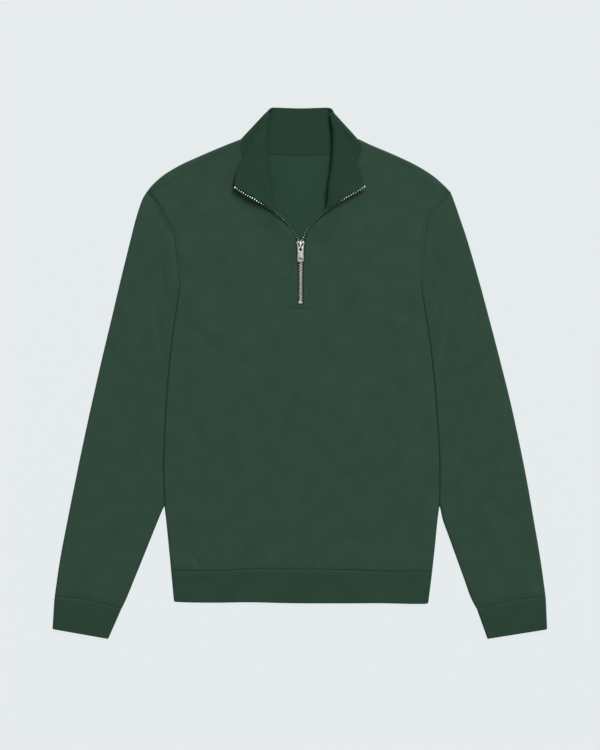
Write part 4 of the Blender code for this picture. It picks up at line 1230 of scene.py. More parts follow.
def build_collar(relief, finish):
    middle, normals, lens, height, along, shares = collar_grid()
    half = (RIB_CLOTH / 2 * lens + relief * height * lens)[..., None]
    lowest = (-np.inf, -np.inf, 0)
    shown, plain = (np.maximum(middle + normals * part, lowest) for part in (half, -half))
    cloth = np.dstack(np.broadcast_arrays(along, shares[:, None] * COLLAR_HIGH))
    made = shell("collar_rib", shown, plain, (finish,), ridge=height, cloth=cloth)
    return dress(made, "rib", "collar")


# Zip

def joined_mesh(name, parts, finishes, sharp=40):
    """One object of several (points, faces) parts in millimetres."""
    points, faces, first = [], [], 0
    for part_points, part_faces in parts:
        points.append(np.asarray(part_points, float))
        faces += [tuple(first + k for k in face) for face in part_faces]
        first += len(part_points)
    mesh = bpy.data.meshes.new(name)
    mesh.from_pydata((np.concatenate(points) * MM).tolist(), [], faces)
    for finish in finishes:
        mesh.materials.append(finish)
    return placed(name, mesh, sharp)


def angles_round(count):
    return np.arange(count) * 2 * math.pi / count


def ring_faces(rings, sides, closed=False):
    """Faces from ring to ring of points, and over both ends unless the last ring meets the first."""
    faces = [] if closed else [tuple(range(sides)), tuple(range((rings - 1) * sides, rings * sides))]
    for i in range(rings if closed else rings - 1):
        low, high = i * sides, (i + 1) % rings * sides
        for k in range(sides):
            after = (k + 1) % sides
            faces.append((low + k, low + after, high + after, high + k))
    return faces


TAPE_ROUND = 0.3      # how far in from its edges the tape is rounded


def build_tape(side, finish):
    """The woven tape, with rounded edges and a cord inside the one that holds the teeth."""
    line = ZipLine(side, 0)
    half = TAPE_THICK / 2
    grid = []
    for at in np.linspace(0, line.long, 150):
        here, cross, _, face = line.place(at)
        centre = here - np.array([0, 0, line.value("drop", at)])
        near, far = line.value("tape_in", at), line.value("tape_out", at)
        middle = (near + far) / 2
        section = (
            (near, 0), (near + TAPE_ROUND, half), (near + 3 * TAPE_ROUND, half * 0.9), (middle, half * 0.8),
            (far - TAPE_ROUND, half * 0.8), (far, 0), (far - TAPE_ROUND, -half), (middle, -half),
            (near + TAPE_ROUND, -half),
        )
        grid.append([centre + cross * a + face * b for a, b in section])
    faces = ring_faces(len(grid), len(section))
    made = joined_mesh(f"tape_{side}", [(np.concatenate(grid), faces)], [finish])
    return dress(made, "zip_tape", f"zip_tape_{side}")


TOOTH = (
    (1.6, -0.8), (1.6, 0.8), (0.7, 0.94), (-0.3, 0.88), (-0.9, 0.66),
    (-1.5, 0.74), (-1.95, 0.4), (-1.95, -0.4), (-1.5, -0.74), (-0.9, -0.66), (-0.3, -0.88), (0.7, -0.94),
)
# Layers of a tooth from below: height, and the share of its outline there
TOOTH_LAYERS = (
    (-1.1, 0.6), (-0.95, 0.86), (-0.65, 1), (0.6, 1), (0.88, 0.91), (1.04, 0.74), (1.1, 0.48),
)
HEAD_KEPT = 0.75      # how much less the layers shrink along the tooth than across


def tooth_template():
    """Points and faces of one tooth: x to the tape, y along the zip, z out of the face."""
    points = []
    for z, share in TOOTH_LAYERS:
        points += [(x * (share + (1 - share) * HEAD_KEPT), y * share, z) for x, y in TOOTH]
    return np.array(points), ring_faces(len(TOOTH_LAYERS), len(TOOTH))


def placed_tooth(template, here, cross, run, face, scale=(1, 1, 1)):
    points, faces = template
    points = points * scale
    return here + points[:, :1] * cross + points[:, 1:2] * run + points[:, 2:] * face, faces


# Size of each kind of tooth against the template
OPEN_SCALE = (0.8, 0.88, 0.88)
END_SCALE = (0.9, 1.7, 1.05)
END_LONG = 3.2        # length of the stop at a row's top end
CLOSED_SCALE = (1.15, 0.97, 1.4)
STOP_SCALE = (0.9, 2.3, 1.4)
FIRST_TOOTH = 0.6     # from the start of an open row to its first tooth
CLOSED_X = 1.0        # from the middle line to a closed tooth
STOP_X = 1.4          # the same for each half of the bottom stop


def build_open_teeth(side, pitch, metal):
    template = tooth_template()
    line = ZipLine(side, FIRST_OPEN)
    last = line.long - END_LONG / 2
    parts = [placed_tooth(template, *line.place(last), END_SCALE)]
    for at in np.linspace(FIRST_TOOTH, last, round((last - FIRST_TOOTH) / pitch) + 1)[:-1]:
        parts.append(placed_tooth(template, *line.place(at), OPEN_SCALE))
    made = joined_mesh(f"teeth_{side}", parts, [metal])
    return dress(made, "zip_metal", f"zip_teeth_{side}")


FLAT_AXES = np.eye(3)[1:]   # along the closed zip and out of its face


def build_closed_teeth(pitch, metal):
    template = tooth_template()
    parts = []
    start = STOP_Y + STOP_LONG + 0.9
    count = int((SLIDER_LOW + 0.4 - start) / pitch * 2)
    for k in range(count):
        sign = 1 if k % 2 else -1
        here = np.array([sign * CLOSED_X, start + pitch / 2 * k, TEETH_Z])
        parts.append(placed_tooth(template, here, np.array([sign, 0, 0]), *FLAT_AXES, CLOSED_SCALE))
    for sign in (-1, 1):
        here = np.array([sign * STOP_X, STOP_Y + STOP_LONG / 2, TEETH_Z])
        parts.append(placed_tooth(template, here, np.array([sign, 0, 0]), *FLAT_AXES, STOP_SCALE))
    made = joined_mesh("teeth_closed", parts, [metal])
    return dress(made, "zip_metal", "zip_teeth_closed")


def circle(y, radius, count=18):
    """Points round a circle on the middle line."""
    return [(radius * math.sin(turn), y + radius * math.cos(turn)) for turn in angles_round(count)]


def signed_area(loop):
    """Area inside an outline, above zero where it runs anticlockwise."""
    loop = np.asarray(loop, float)
    after = np.roll(loop, -1, axis=0)
    return float((loop[:, 0] * after[:, 1] - after[:, 0] * loop[:, 1]).sum() / 2)


def plate_mesh(loops, thick, bevel, z):
    """Points and faces of a plate with rounded edges, from outlines in the plane, around height z."""
    curve = bpy.data.curves.new("plate", "CURVE")
    curve.dimensions = "2D"
    curve.fill_mode = "BOTH"
    curve.extrude = thick / 2 - bevel
    curve.bevel_depth = bevel
    curve.bevel_resolution = 2
    curve.offset = -bevel
    for number, loop in enumerate(loops):
        if (signed_area(loop) > 0) == (number == 0):
            loop = loop[::-1]
        spline = curve.splines.new("POLY")
        spline.points.add(len(loop) - 1)
        for point, (x, y) in zip(spline.points, loop):
            point.co = (x, y, 0, 1)
        spline.use_cyclic_u = True
    holder = bpy.data.objects.new("plate", curve)
    mesh = bpy.data.meshes.new_from_object(holder)
    form = bmesh.new()
    form.from_mesh(mesh)
    bmesh.ops.remove_doubles(form, verts=form.verts, dist=0.001)
    form.verts.index_update()
    points = np.array([vertex.co[:] for vertex in form.verts]) + (0, 0, z)
    faces = [tuple(vertex.index for vertex in face.verts) for face in form.faces]
    form.free()
    bpy.data.objects.remove(holder)
    bpy.data.curves.remove(curve)
    bpy.data.meshes.remove(mesh)
    return points, faces


def rounded_loop(points, radius, steps=4):
    """An outline with its corners rounded."""
    points = np.asarray(points, float)
    loop = []
    for k, corner in enumerate(points):
        before, after = points[k - 1] - corner, points[(k + 1) % len(points)] - corner
        reach = min(radius, np.linalg.norm(before) * 0.45, np.linalg.norm(after) * 0.45)
        start, end = corner + unit(before) * reach, corner + unit(after) * reach
        for t in np.linspace(0, 1, steps):
            loop.append(start * (1 - t) ** 2 + corner * 2 * t * (1 - t) + end * t * t)
    return [tuple(point) for point in loop]


def rim_mesh(loop, radius, z, sides=8):
    """Points and faces of a round bead along a closed outline."""
    loop = np.asarray(loop, float)
    runs = unit(np.roll(loop, -1, axis=0) - np.roll(loop, 1, axis=0))
    out = np.stack([runs[:, 1], -runs[:, 0]], axis=1)
    angles = angles_round(sides)
    flat = loop[:, None] + out[:, None] * radius * np.cos(angles)[:, None]
    high = np.broadcast_to(z + radius * np.sin(angles), flat.shape[:2])
    return np.dstack([flat, high]).reshape(-1, 3), ring_faces(len(loop), sides, closed=True)


SLIDER_CROWN = (
    (0, 199.4), (1.1, 198.9), (1.75, 196.9), (2.5, 198.5), (3.6, 199.0), (5.0, 198.3), (5.8, 196.6),
    (5.6, 194.6), (5.0, 192.4), (4.7, 189), (4.5, 182.8),
)
SLIDER_SLOT = ((3.0, 195.9), (4.6, 194.8), (1.35, 189.4), (0.3, 190.3))
SLIDER_WELL = (185.6, 2.1)   # y and radius of the hole under the eye of the tab
SLIDER_FLANGE = ((4.6, 195.4), (5.5, 195.4), (4.8, 190.6), (4.4, 183.2), (3.6, 183.2), (4.0, 190.6))
SLIDER_POST = ((0, 198.6), (1.5, 195.5), (0, 191.5), (-1.5, 195.5))
# Thickness, rounding of the edges and height of the middle of each layer
UPPER_PLATE = (1.5, 0.18, 8.1)
LOWER_PLATE = (1.1, 0.18, 5.1)
POST = (3.4, 0.15, 6.6)
FLANGE = (3.6, 0.15, 6.5)

# The slider's bridge from the crown over the tab's crossbar down to its foot. It
# stays under the tab when that is turned right over.
BRIDGE = table(
    "y half low top",
    (197.4, 0.5, 8.4, 9.3),
    (196.4, 0.9, 8.4, 9.8),
    (195.4, 1.4, 8.4, 10.1),
    (194.6, 1.5, 8.4, 10.3),
    (193.4, 1.1, 8.4, 10.45),
    (192.4, 0.75, 8.4, 10.7),
    (191.4, 0.55, 8.4, 10.9),
    (190.4, 0.45, 8.5, 11.05),
    (189.8, 0.4, 8.7, 11.1),
    (189.3, 0.38, 10.6, 11.15),
    (188.7, 0.36, 10.7, 11.25),
    (188.1, 0.36, 10.5, 11.1),
    (187.75, 0.36, 8.6, 10.8),
    (187.3, 0.4, 8.3, 9.4),
)
BRIDGE_SIDES = 12


def bridge_mesh():
    """Points and faces of the bridge, with rounded sections across it."""
    angles = angles_round(BRIDGE_SIDES)
    across, up = np.cos(angles), np.sin(angles)
    square = np.maximum(abs(across), abs(up)) ** 0.6
    points = []
    for row in BRIDGE:
        z = (row.low + row.top) / 2 + (row.top - row.low) / 2 * up / square
        points.append(np.column_stack([row.half * across / square, np.full(BRIDGE_SIDES, row.y), z]))
    return np.concatenate(points), ring_faces(len(BRIDGE), BRIDGE_SIDES)


def mirrored(loop):
    """Half an outline followed by its mirror."""
    return list(loop) + [(-x, y) for x, y in reversed(loop)]


def build_slider(metal):
    """Upper and lower plate, the post between them, the side flanges and the bridge."""
    outline = rounded_loop(mirrored(SLIDER_CROWN)[:-1], 0.8)
    slots = [rounded_loop([(sign * x, y) for x, y in SLIDER_SLOT], 0.3) for sign in (-1, 1)]
    loops = [outline, *slots, circle(*SLIDER_WELL)]
    parts = [plate_mesh(loops, *UPPER_PLATE), plate_mesh(loops, *LOWER_PLATE)]
    parts.append(plate_mesh([rounded_loop(SLIDER_POST, 0.5)], *POST))
    for sign in (-1, 1):
        parts.append(plate_mesh([rounded_loop([(sign * x, y) for x, y in SLIDER_FLANGE], 0.4)], *FLANGE))
    parts.append(bridge_mesh())
    made = joined_mesh("slider", parts, [metal], 45)
    return dress(made, "zip_metal", "zip_slider")


TAB_RIM = ((4.0, 189.4), (4.6, 187), (4.55, 183.5), (4.3, 179), (4.55, 174.5), (4.6, 170), (3.6, 167.4))
TAB_BEAD = ((3.5, 188.7), (4.05, 186.6), (4.0, 183.5), (3.75, 179), (4.0, 174.5), (4.05, 170.2), (3.2, 168))
EYE_Y = 185.7         # centre and radius of the eye, which is open to the crossbar
EYE_RADIUS = 2.0
STEM_HALF = 0.9       # half width of the slot from the eye up to the crossbar
WINDOW = ((2.6, 173.6), (2.6, 170.1))
BEAD = 0.45           # radius of the rim's bead
FRAME_BEAD = 0.36     # radius of the bead round the window
FRAME_UP = 0.12       # how far that one stands out of the tab
TAB_PLATE = 0.9


def build_pull_tab(metal):
    """A flat tab with a beaded rim that is its crossbar at the top, an eye and a window."""
    top = TAB_RIM[0][1]
    foot = math.asin(STEM_HALF / EYE_RADIUS)
    turns = np.linspace(foot, 2 * math.pi - foot, 22)
    eye = [(EYE_RADIUS * math.sin(turn), EYE_Y + EYE_RADIUS * math.cos(turn)) for turn in turns]
    right = rounded_loop(TAB_RIM, 1.6)[4:]
    outline = [(STEM_HALF, top), (TAB_RIM[0][0] - 0.8, top), (TAB_RIM[0][0], top - 0.7)]
    outline += right[:-4] + [(TAB_RIM[-1][0] + 0.6, 168.2), (TAB_RIM[-1][0] - 0.6, TAB_RIM[-1][1])]
    window = rounded_loop(mirrored(WINDOW), 0.7)
    middle = np.mean(WINDOW, axis=0)[1]
    window_frame = [(x * 1.14, middle + (y - middle) * 1.2) for x, y in window]
    parts = [
        plate_mesh([mirrored(outline) + eye[::-1], window], TAB_PLATE, 0.18, PIVOT_Z),
        rim_mesh(rounded_loop(mirrored(TAB_BEAD), 1.2), BEAD, PIVOT_Z),
        rim_mesh(window_frame, FRAME_BEAD, PIVOT_Z + FRAME_UP),
    ]
    made = joined_mesh("zip_pull", parts, [metal], 45)
    return dress(made, "zip_metal", "pull_tab", body=PULL)


# Sewing

STITCH_SIDES = 6
# Along a stitch: share of its length, share of its thickness, how high it stands
STITCH_FORM = ((0, 0.35, -0.7), (0.14, 0.85, -0.1), (0.5, 1, 0.15), (0.86, 0.85, -0.1), (1, 0.35, -0.7))


STITCH_FACES = ring_faces(len(STITCH_FORM), STITCH_SIDES)


def stitch_run(line, up, long, gap, wide):
    """Thread stitches along a 3-D line. up is the cloth's normal there."""
    keys = lengths(line)
    count = int((keys[-1] - long) / (long + gap)) + 1
    angles = angles_round(STITCH_SIDES)[:, None]
    parts = []
    for first in np.linspace(0, max(keys[-1] - long, 0), max(count, 1)):
        start, end = between((first, first + long), keys, line)
        normal = unit(between(first + long / 2, keys, up))
        across = unit(np.cross(normal, unit(end - start)))
        ring = (across * np.cos(angles) + normal * np.sin(angles)) * wide / 2
        points = [
            start + (end - start) * share + normal * high * wide / 2 + ring * full
            for share, full, high in STITCH_FORM
        ]
        parts.append((np.concatenate(points), STITCH_FACES))
    return parts


def beside(line, away):
    """A plane line moved sideways, to the left of its run where away is above zero."""
    runs = unit(np.gradient(line, axis=0))
    return line + np.stack([-runs[:, 1], runs[:, 0]], axis=1) * away


def on_top(line, height):
    """A plane line laid on the upper side, with the cloth's normals."""
    def level(points):
        return height + upper(points)

    z = level(line)
    step = 0.6
    slope_x = (level(line + (step, 0)) - level(line - (step, 0))) / (2 * step)
    slope_y = (level(line + (0, step)) - level(line - (0, step))) / (2 * step)
    return np.column_stack([line, z]), unit(np.column_stack([-slope_x, -slope_y, np.ones(len(line))]))


# Rows of stitches beside the seams: how far from the seam each row runs, the
# share of it that stays free at each end, and the points that are worked out
STITCH_ROWS = table(
    "seam height rows free samples",
    ("armhole_left", LAID, (-1.9, -6.6), 0.01, 120),
    ("armhole_right", LAID, (1.9, 6.6), 0.01, 120),
    ("shoulder_left", LAID, (-1.9, -6.2), 0.01, 120),
    ("shoulder_right", LAID, (1.9, 6.2), 0.01, 120),
    ("neck_left", LAID, (-2.4,), 0.01, 120),
    ("neck_right", LAID, (2.4,), 0.01, 120),
    ("hem", RIB_LAID, (-6.9,), 0.01, 120),
    ("cuff_left", LAID, (2.0, 6.4), 0.03, 60),
    ("cuff_right", LAID, (-2.0, -6.4), 0.03, 60),
)
# The row round the zip: half its width, both ends of its sides, and its foot
ZIP_ROW_X = 14.1
ZIP_ROW_Y = (98, 197)
ZIP_FOOT_X = 13.4
ZIP_FOOT_Y = 97.0
ZIP_FOOT_BOW = 0.008


def sewn_lines():
    """Each row of stitches as a line in the plane, and the height of flat cloth under it."""
    lines = []
    for row in STITCH_ROWS:
        line = resample(SEAM_LINES[row.seam], np.linspace(row.free, 1 - row.free, row.samples))
        lines += [(beside(line, away), row.height) for away in row.rows]
    for x in (-ZIP_ROW_X, ZIP_ROW_X):
        lines.append((np.array([(x, y) for y in np.linspace(*ZIP_ROW_Y, 60)]), LAID))
    foot = [(x, ZIP_FOOT_Y + ZIP_FOOT_BOW * x * x) for x in np.linspace(-ZIP_FOOT_X, ZIP_FOOT_X, 20)]
    return lines + [(np.array(foot), LAID)]


def build_sewing(settings, thread):
    """Every row of stitches of the upper side as one piece."""
    sizes = [value / MM for value in (settings.stitch_long, settings.stitch_gap, settings.thread_wide)]
    parts = []
    for line, height in sewn_lines():
        parts += stitch_run(*on_top(line, height), *sizes)
    made = joined_mesh("sewing", parts, [thread], 80)
    return dress(made, "fleece")


# Finishes

NAP_TINT = (0.34, 0.56, 0.43)
BAND_FURROW_SHADE = 0.14     # painted shade: how much darker the furrows of cuffs and hem band are painted
COLLAR_FURROW_SHADE = 0.05   # the same on the collar


class Value:
    """A number in a material's nodes. Arithmetic on it adds Math nodes."""

    def __init__(self, finish, output):
        self.finish = finish
        self.output = output

    def math(self, operation, *values):
        return self.finish.node("ShaderNodeMath", {"operation": operation}, dict(enumerate(values)))

    def __add__(self, other):
        return self.math("ADD", self, other)

    def __radd__(self, other):
        return self.math("ADD", other, self)

    def __sub__(self, other):
        return self.math("SUBTRACT", self, other)

    def __rsub__(self, other):
        return self.math("SUBTRACT", other, self)

    def __mul__(self, other):
        return self.math("MULTIPLY", self, other)

    def __rmul__(self, other):
        return self.math("MULTIPLY", other, self)

    def __pow__(self, other):
        return self.math("POWER", self, other)

    def __abs__(self):
        return self.math("ABSOLUTE", self)

    def fract(self):
        return self.math("FRACT", self)

    def sine(self):
        return self.math("SINE", self)

    def clamped(self):
        return self.math("MINIMUM", self.math("MAXIMUM", self, 0.0), 1.0)


class Finish:
    """A material under construction."""

    def __init__(self, name):
        self.material = bpy.data.materials.new(name)
        self.material.use_nodes = True
        self.tree = self.material.node_tree
        self.tree.nodes.clear()

    def node(self, kind, settings=None, sockets=None, output=0):
        """A node of this type. Its settings are set first, then the values or links of its sockets."""
        made = self.tree.nodes.new(kind)
        for key, value in (settings or {}).items():
            setattr(made, key, value)
        for key, value in (sockets or {}).items():
            if isinstance(value, Value):
                self.tree.links.new(value.output, made.inputs[key])
            elif isinstance(value, tuple) and len(value) == 3 and made.inputs[key].type == "RGBA":
                made.inputs[key].default_value = (*value, 1)
            else:
                made.inputs[key].default_value = value
        return Value(self, made.outputs[output]) if made.outputs else None

    def mix(self, factor, first, second):
        """A colour between two, by a factor."""
        return self.node("ShaderNodeMix", {"data_type": "RGBA"}, {0: factor, 6: first, 7: second}, output=2)

    def place(self):
        """Places in the piece, in metres."""
        return self.node("ShaderNodeTexCoord", output=3)

    def cloth_place(self):
        """Places in the cloth, in decimetres."""
        return self.node("ShaderNodeUVMap", {"uv_map": CLOTH_MAP})

    def split(self, place):
        """X and Y of a place."""
        return [self.node("ShaderNodeSeparateXYZ", None, {0: place}, output=axis) for axis in (0, 1)]

    def noise(self, place, scale, detail=2.0, rough=0.5):
        sockets = {"Vector": place, "Scale": scale, "Detail": detail, "Roughness": rough}
        return self.node("ShaderNodeTexNoise", None, sockets)

    def bump(self, height, distance, strength=1.0, under=None):
        sockets = {"Height": height, "Distance": distance, "Strength": strength}
        if under is not None:
            sockets["Normal"] = under
        return self.node("ShaderNodeBump", None, sockets)

    def surface(self, sockets):
        """The Principled shader with these sockets, joined to the output."""
        shader = self.node("ShaderNodeBsdfPrincipled", None, sockets)
        self.node("ShaderNodeOutputMaterial", None, {"Surface": shader})
        return self.material

    def cloth(self, face, rough, normal, sheen, sheen_rough=0.5, specular=0.15):
        """Cloth with the soft sheen of its nap."""
        return self.surface({
            "Base Color": face, "Roughness": rough, "Normal": normal, "Sheen Weight": sheen,
            "Sheen Roughness": sheen_rough, "Sheen Tint": NAP_TINT, "Specular IOR Level": specular,
        })


def shade(color, factor):
    return tuple(min(channel * factor, 1.0) for channel in color)


def knit(finish, wale):
    """Places in the cloth and the height of its fine knit, with V-shaped stitches in columns."""
    place = finish.cloth_place()
    x, y = finish.split(place)
    across, up = x * (MAP_UNIT / wale), y * (MAP_UNIT / wale * 1.25)
    side = abs(across.fract() - 0.5) * 2
    arms = (up + side * 0.55).fract()
    loop = 1 - abs(arms - 0.5) * 2
    return place, loop * (1 - side**4 * 0.8)


def fleece_finish(name, color, wale):
    """The plain knitted face: even colour, fine stitches with painted shade between their loops, and a short
    nap.
    """
    finish = Finish(name)
    place, stitches = knit(finish, wale)
    cloudy = finish.noise(place, 3.2, 3.0, 0.55)
    fibres = finish.noise(place, 160.0, 3.0, 0.7)
    # Random tone, with painted shade: the low parts of the knit are painted darker.
    tone_and_stitch_shade = (cloudy + fibres * 0.3 + stitches * 0.25 - 0.2).clamped()
    face = finish.mix(tone_and_stitch_shade, shade(color, 0.84), shade(color, 1.2))
    nap = finish.bump(fibres, 0.00022, 0.6)
    normal = finish.bump(stitches, 0.00016, 0.7, nap)
    return finish.cloth(face, 0.86 + fibres * 0.1, normal, 0.05)


def inside_finish(name, color):
    """The brushed inside: soft, matted nap without stitches."""
    finish = Finish(name)
    place = finish.cloth_place()
    matted = finish.noise(place, 46.0, 4.0, 0.65)
    fibres = finish.noise(place, 210.0, 3.0, 0.75)
    face = finish.mix((matted * 0.6 + fibres * 0.4).clamped(), shade(color, 0.8), shade(color, 1.22))
    normal = finish.bump(matted * 0.7 + fibres * 0.3, 0.0006, 0.7)
    return finish.cloth(face, 0.95, normal, 0.07, 0.6, 0.12)


def rib_finish(name, color, wale, furrow_shade):
    """The rib: furrows between round ridges, with painted shade that darkens the furrows in patches, and fine
    stitches.
    """
    finish = Finish(name)
    place, stitches = knit(finish, wale)
    ridge = finish.node("ShaderNodeAttribute", {"attribute_name": "ridge"}, output=2)
    cloudy = finish.noise(place, 3.6, 3.0, 0.55)
    fibres = finish.noise(place, 170.0, 3.0, 0.7)
    # Painted shade: the furrows between the ribs are painted darker, in patches.
    shown = ((finish.noise(place, 1.5, 2.0, 0.5) - 0.43) * 6).clamped()
    furrow_lit = 1 - (1 - (ridge * 1.15).clamped() ** 1.6) * shown
    # Random tone, with painted shade: the low parts of the knit are painted darker.
    tone_and_stitch_shade = (cloudy * 0.5 + fibres * 0.3 + stitches * 0.3).clamped()
    face = finish.mix(tone_and_stitch_shade, shade(color, 0.86), shade(color, 1.2))
    face = finish.mix(furrow_lit, shade(color, 1 - furrow_shade), face)
    nap = finish.bump(fibres, 0.0002, 0.6)
    normal = finish.bump(stitches, 0.00016, 0.8, nap)
    return finish.cloth(face, 0.9, normal, 0.04)


def thread_finish(name, color):
    """Spun sewing thread."""
    finish = Finish(name)
    twist = finish.noise(finish.place(), 2600.0, 2.0, 0.6)
    face = finish.mix(twist, shade(color, 0.7), shade(color, 1.3))
    normal = finish.bump(twist, 0.0001, 0.6)
    return finish.surface({"Base Color": face, "Roughness": 0.6, "Normal": normal, "Specular IOR Level": 0.2})


def tape_finish(name, color):
    """Woven tape in a fine herringbone, with painted shade in the low parts of its weave."""
    finish = Finish(name)
    x, y = finish.split(finish.place())
    zigzag = abs((x * 500.0).fract() - 0.5) * 2
    weave = ((y * 1400.0 + zigzag * 1.4) * math.pi).sine() * 0.5 + 0.5
    # Painted shade: the colour follows the weave's height, darker where it is low.
    face = finish.mix(weave, shade(color, 0.6), shade(color, 1.25))
    return finish.surface({"Base Color": face, "Roughness": 0.75, "Normal": finish.bump(weave, 0.0001, 0.6)})


def metal_finish(name, color, roughness):
    """Nickel-plated metal, lightly brushed and worn."""
    finish = Finish(name)
    place = finish.place()
    worn = finish.noise(place, 420.0, 4.0, 0.6)
    fine = finish.noise(place, 3200.0, 2.0, 0.5)
    face = finish.mix(worn, shade(color, 0.86), shade(color, 1.06))
    rough = worn * 0.2 + (roughness - 0.08)
    return finish.surface(
        {"Base Color": face, "Metallic": 1.0, "Roughness": rough, "Normal": finish.bump(fine, 0.00004, 0.4)}
    )


def floor_finish(name, color, glow):
    """A pale matt floor that gives back some light of its own, so that shadows on it stay faint."""
    finish = Finish(name)
    grain = finish.noise(finish.place(), 40.0, 2.0, 0.5)
    face = finish.mix(grain, shade(color, 0.995), shade(color, 1.0))
    shade_left = shade(color, 1 - glow)
    base = finish.mix(grain, shade(shade_left, 0.995), shade_left)
    return finish.surface(
        {"Base Color": base, "Roughness": 0.9, "Specular IOR Level": 0.0, "Emission Color": face,
         "Emission Strength": glow}
    )


def finish_of(name, make, *values):
    """The material of this name, made once."""
    return bpy.data.materials.get(name) or make(name, *values)


# Settings

def color_setting(name, description, default):
    return bpy.props.FloatVectorProperty(
        name=name, description=description, default=default, min=0, max=1, size=3, subtype="COLOR"
    )


def length_setting(name, description, default, low=0):
    return bpy.props.FloatProperty(
        name=name, description=description, default=default, min=low, unit="LENGTH", subtype="DISTANCE",
        precision=5,
    )


def share_setting(name, description, default):
    return bpy.props.FloatProperty(
        name=name, description=description, default=default, min=0, max=1, subtype="FACTOR"
    )


def power_setting(name, description, default):
    return bpy.props.FloatProperty(
        name=name, description=description, default=default, min=0, subtype="POWER"
    )


class ClothSettings(bpy.types.PropertyGroup):
    """Colours and sizes of the cloth"""

    body: color_setting("Body", "Colour of the outside of the body and the sleeves", (0.0286, 0.0637, 0.0424))
    inside: color_setting("Inside", "Colour of the brushed inside", (0.0216, 0.0565, 0.0362))
    rib: color_setting("Rib", "Colour of cuffs and hem band", (0.0243, 0.0574, 0.0368))
    # The collar's colour is darker than the rib's: partly its own inside face, partly painted shade.
    collar: color_setting("Collar", "Colour of the collar", (0.0176, 0.0482, 0.0293))
    wale: length_setting("Wale", "Width of one column of knitted stitches", 0.0011)
    rib_pitch: length_setting("Rib pitch", "Distance from rib to rib", RIB_PITCH * MM)
    rib_relief: length_setting("Rib relief", "Height of the ribs over their furrows", 0.00024)


class SewingSettings(bpy.types.PropertyGroup):
    """Colour and sizes of the stitching"""

    # The thread is painted darker than the cloth: painted shade along the rows of stitches.
    thread: color_setting("Thread", "Colour of the sewing thread", (0.0185, 0.043, 0.0285))
    thread_wide: length_setting("Thread width", "Thickness of the thread", 0.0006)
    stitch_long: length_setting("Stitch", "Length of a stitch", 0.0027)
    stitch_gap: length_setting("Gap", "Gap between two stitches", 0.0006)


class ZipSettings(bpy.types.PropertyGroup):
    """Colours and sizes of the zip"""

    metal: color_setting("Metal", "Colour of teeth, slider and pull tab", (0.47, 0.485, 0.465))
    roughness: share_setting("Roughness", "Roughness of the metal", 0.3)
    tape: color_setting("Tape", "Colour of the woven tape", (0.02, 0.043, 0.03))
    pitch: length_setting("Tooth pitch", "Distance from tooth to tooth on one side", 0.00385)


class StageSettings(bpy.types.PropertyGroup):
    """Floor, light and camera"""

    floor: color_setting("Floor", "Colour of the floor", (0.797, 0.838, 0.851))
    glow: share_setting("Floor glow", "Share of its light that the floor gives of its own", 0.95)
    sky: share_setting("Surround", "Strength of the even light from all sides", 0.18)
    top: power_setting("Top light", "Power of the large light overhead", 40.0)
    key: power_setting("Side light", "Power of the light beyond the collar, on the right", 920.0)
    fill: power_setting("Fill light", "Power of the light on the left", 4.0)
    view_wide: length_setting("View width", "Width of the floor that the picture shows", 0.9)
    view_x: length_setting("View X", "Middle of the picture along X", -0.00075, -1)
    view_y: length_setting("View Y", "Middle of the picture along Y", -0.0019, -1)
    camera_away: length_setting("Camera height", "Height of the camera over the floor", 6.0)


# Operators

FLOOR_HALF = 40.0     # half the floor's width, in metres


def fleece_finishes(cloth):
    """Outside and inside of the body's cloth."""
    outside = finish_of("green_fleece_face", fleece_finish, tuple(cloth.body), cloth.wale / MM)
    return outside, finish_of("green_fleece_inside", inside_finish, tuple(cloth.inside))


def band_finish(cloth):
    """Rib of cuffs and hem band."""
    return finish_of("green_rib_face", rib_finish, tuple(cloth.rib), cloth.wale / MM, BAND_FURROW_SHADE)


def zip_metal(fastener):
    return finish_of("nickel", metal_finish, tuple(fastener.metal), fastener.roughness)


class SWEATSHIRT_OT_front(bpy.types.Operator):
    """Make the front panel, slit for the zip"""

    bl_idname = "sweatshirt.front"
    bl_label = "Front Panel"

    def execute(self, context):
        made = build_front(*fleece_finishes(context.scene.sweatshirt_cloth))
        return {"FINISHED"}


class SWEATSHIRT_OT_back(bpy.types.Operator):
    """Make the back panel, which wraps forward over the shoulders"""

    bl_idname = "sweatshirt.back"
    bl_label = "Back Panel"

    def execute(self, context):
        made = build_back(*fleece_finishes(context.scene.sweatshirt_cloth))
        return {"FINISHED"}


class SWEATSHIRT_OT_sleeves(bpy.types.Operator):
    """Make both sleeves as laid tubes"""

    bl_idname = "sweatshirt.sleeves"
    bl_label = "Sleeves"

    def execute(self, context):
        finishes = fleece_finishes(context.scene.sweatshirt_cloth)
        for side in BOTH:
            made = build_sleeve(side, *finishes)
        return {"FINISHED"}


class SWEATSHIRT_OT_cuffs(bpy.types.Operator):
    """Make both ribbed cuffs"""

    bl_idname = "sweatshirt.cuffs"
    bl_label = "Cuffs"

    def execute(self, context):
        cloth = context.scene.sweatshirt_cloth
        for side in BOTH:
            names, path = (f"cuff_rib_{side}", f"cuff_{side}"), cuff_path(side)
            made, girth = build_ribbed(*names, path, BAND_LONG, CUFF_PLAIN, cloth, band_finish(cloth))
        return {"FINISHED"}


class SWEATSHIRT_OT_hem_band(bpy.types.Operator):
    """Make the ribbed hem band"""

    bl_idname = "sweatshirt.hem_band"
    bl_label = "Hem Band"

    def execute(self, context):
        cloth = context.scene.sweatshirt_cloth
        names = "hem_rib", "hem_band"
        made, girth = build_ribbed(*names, hem_path, BAND_LONG, HEM_PLAIN, cloth, band_finish(cloth))
        return {"FINISHED"}


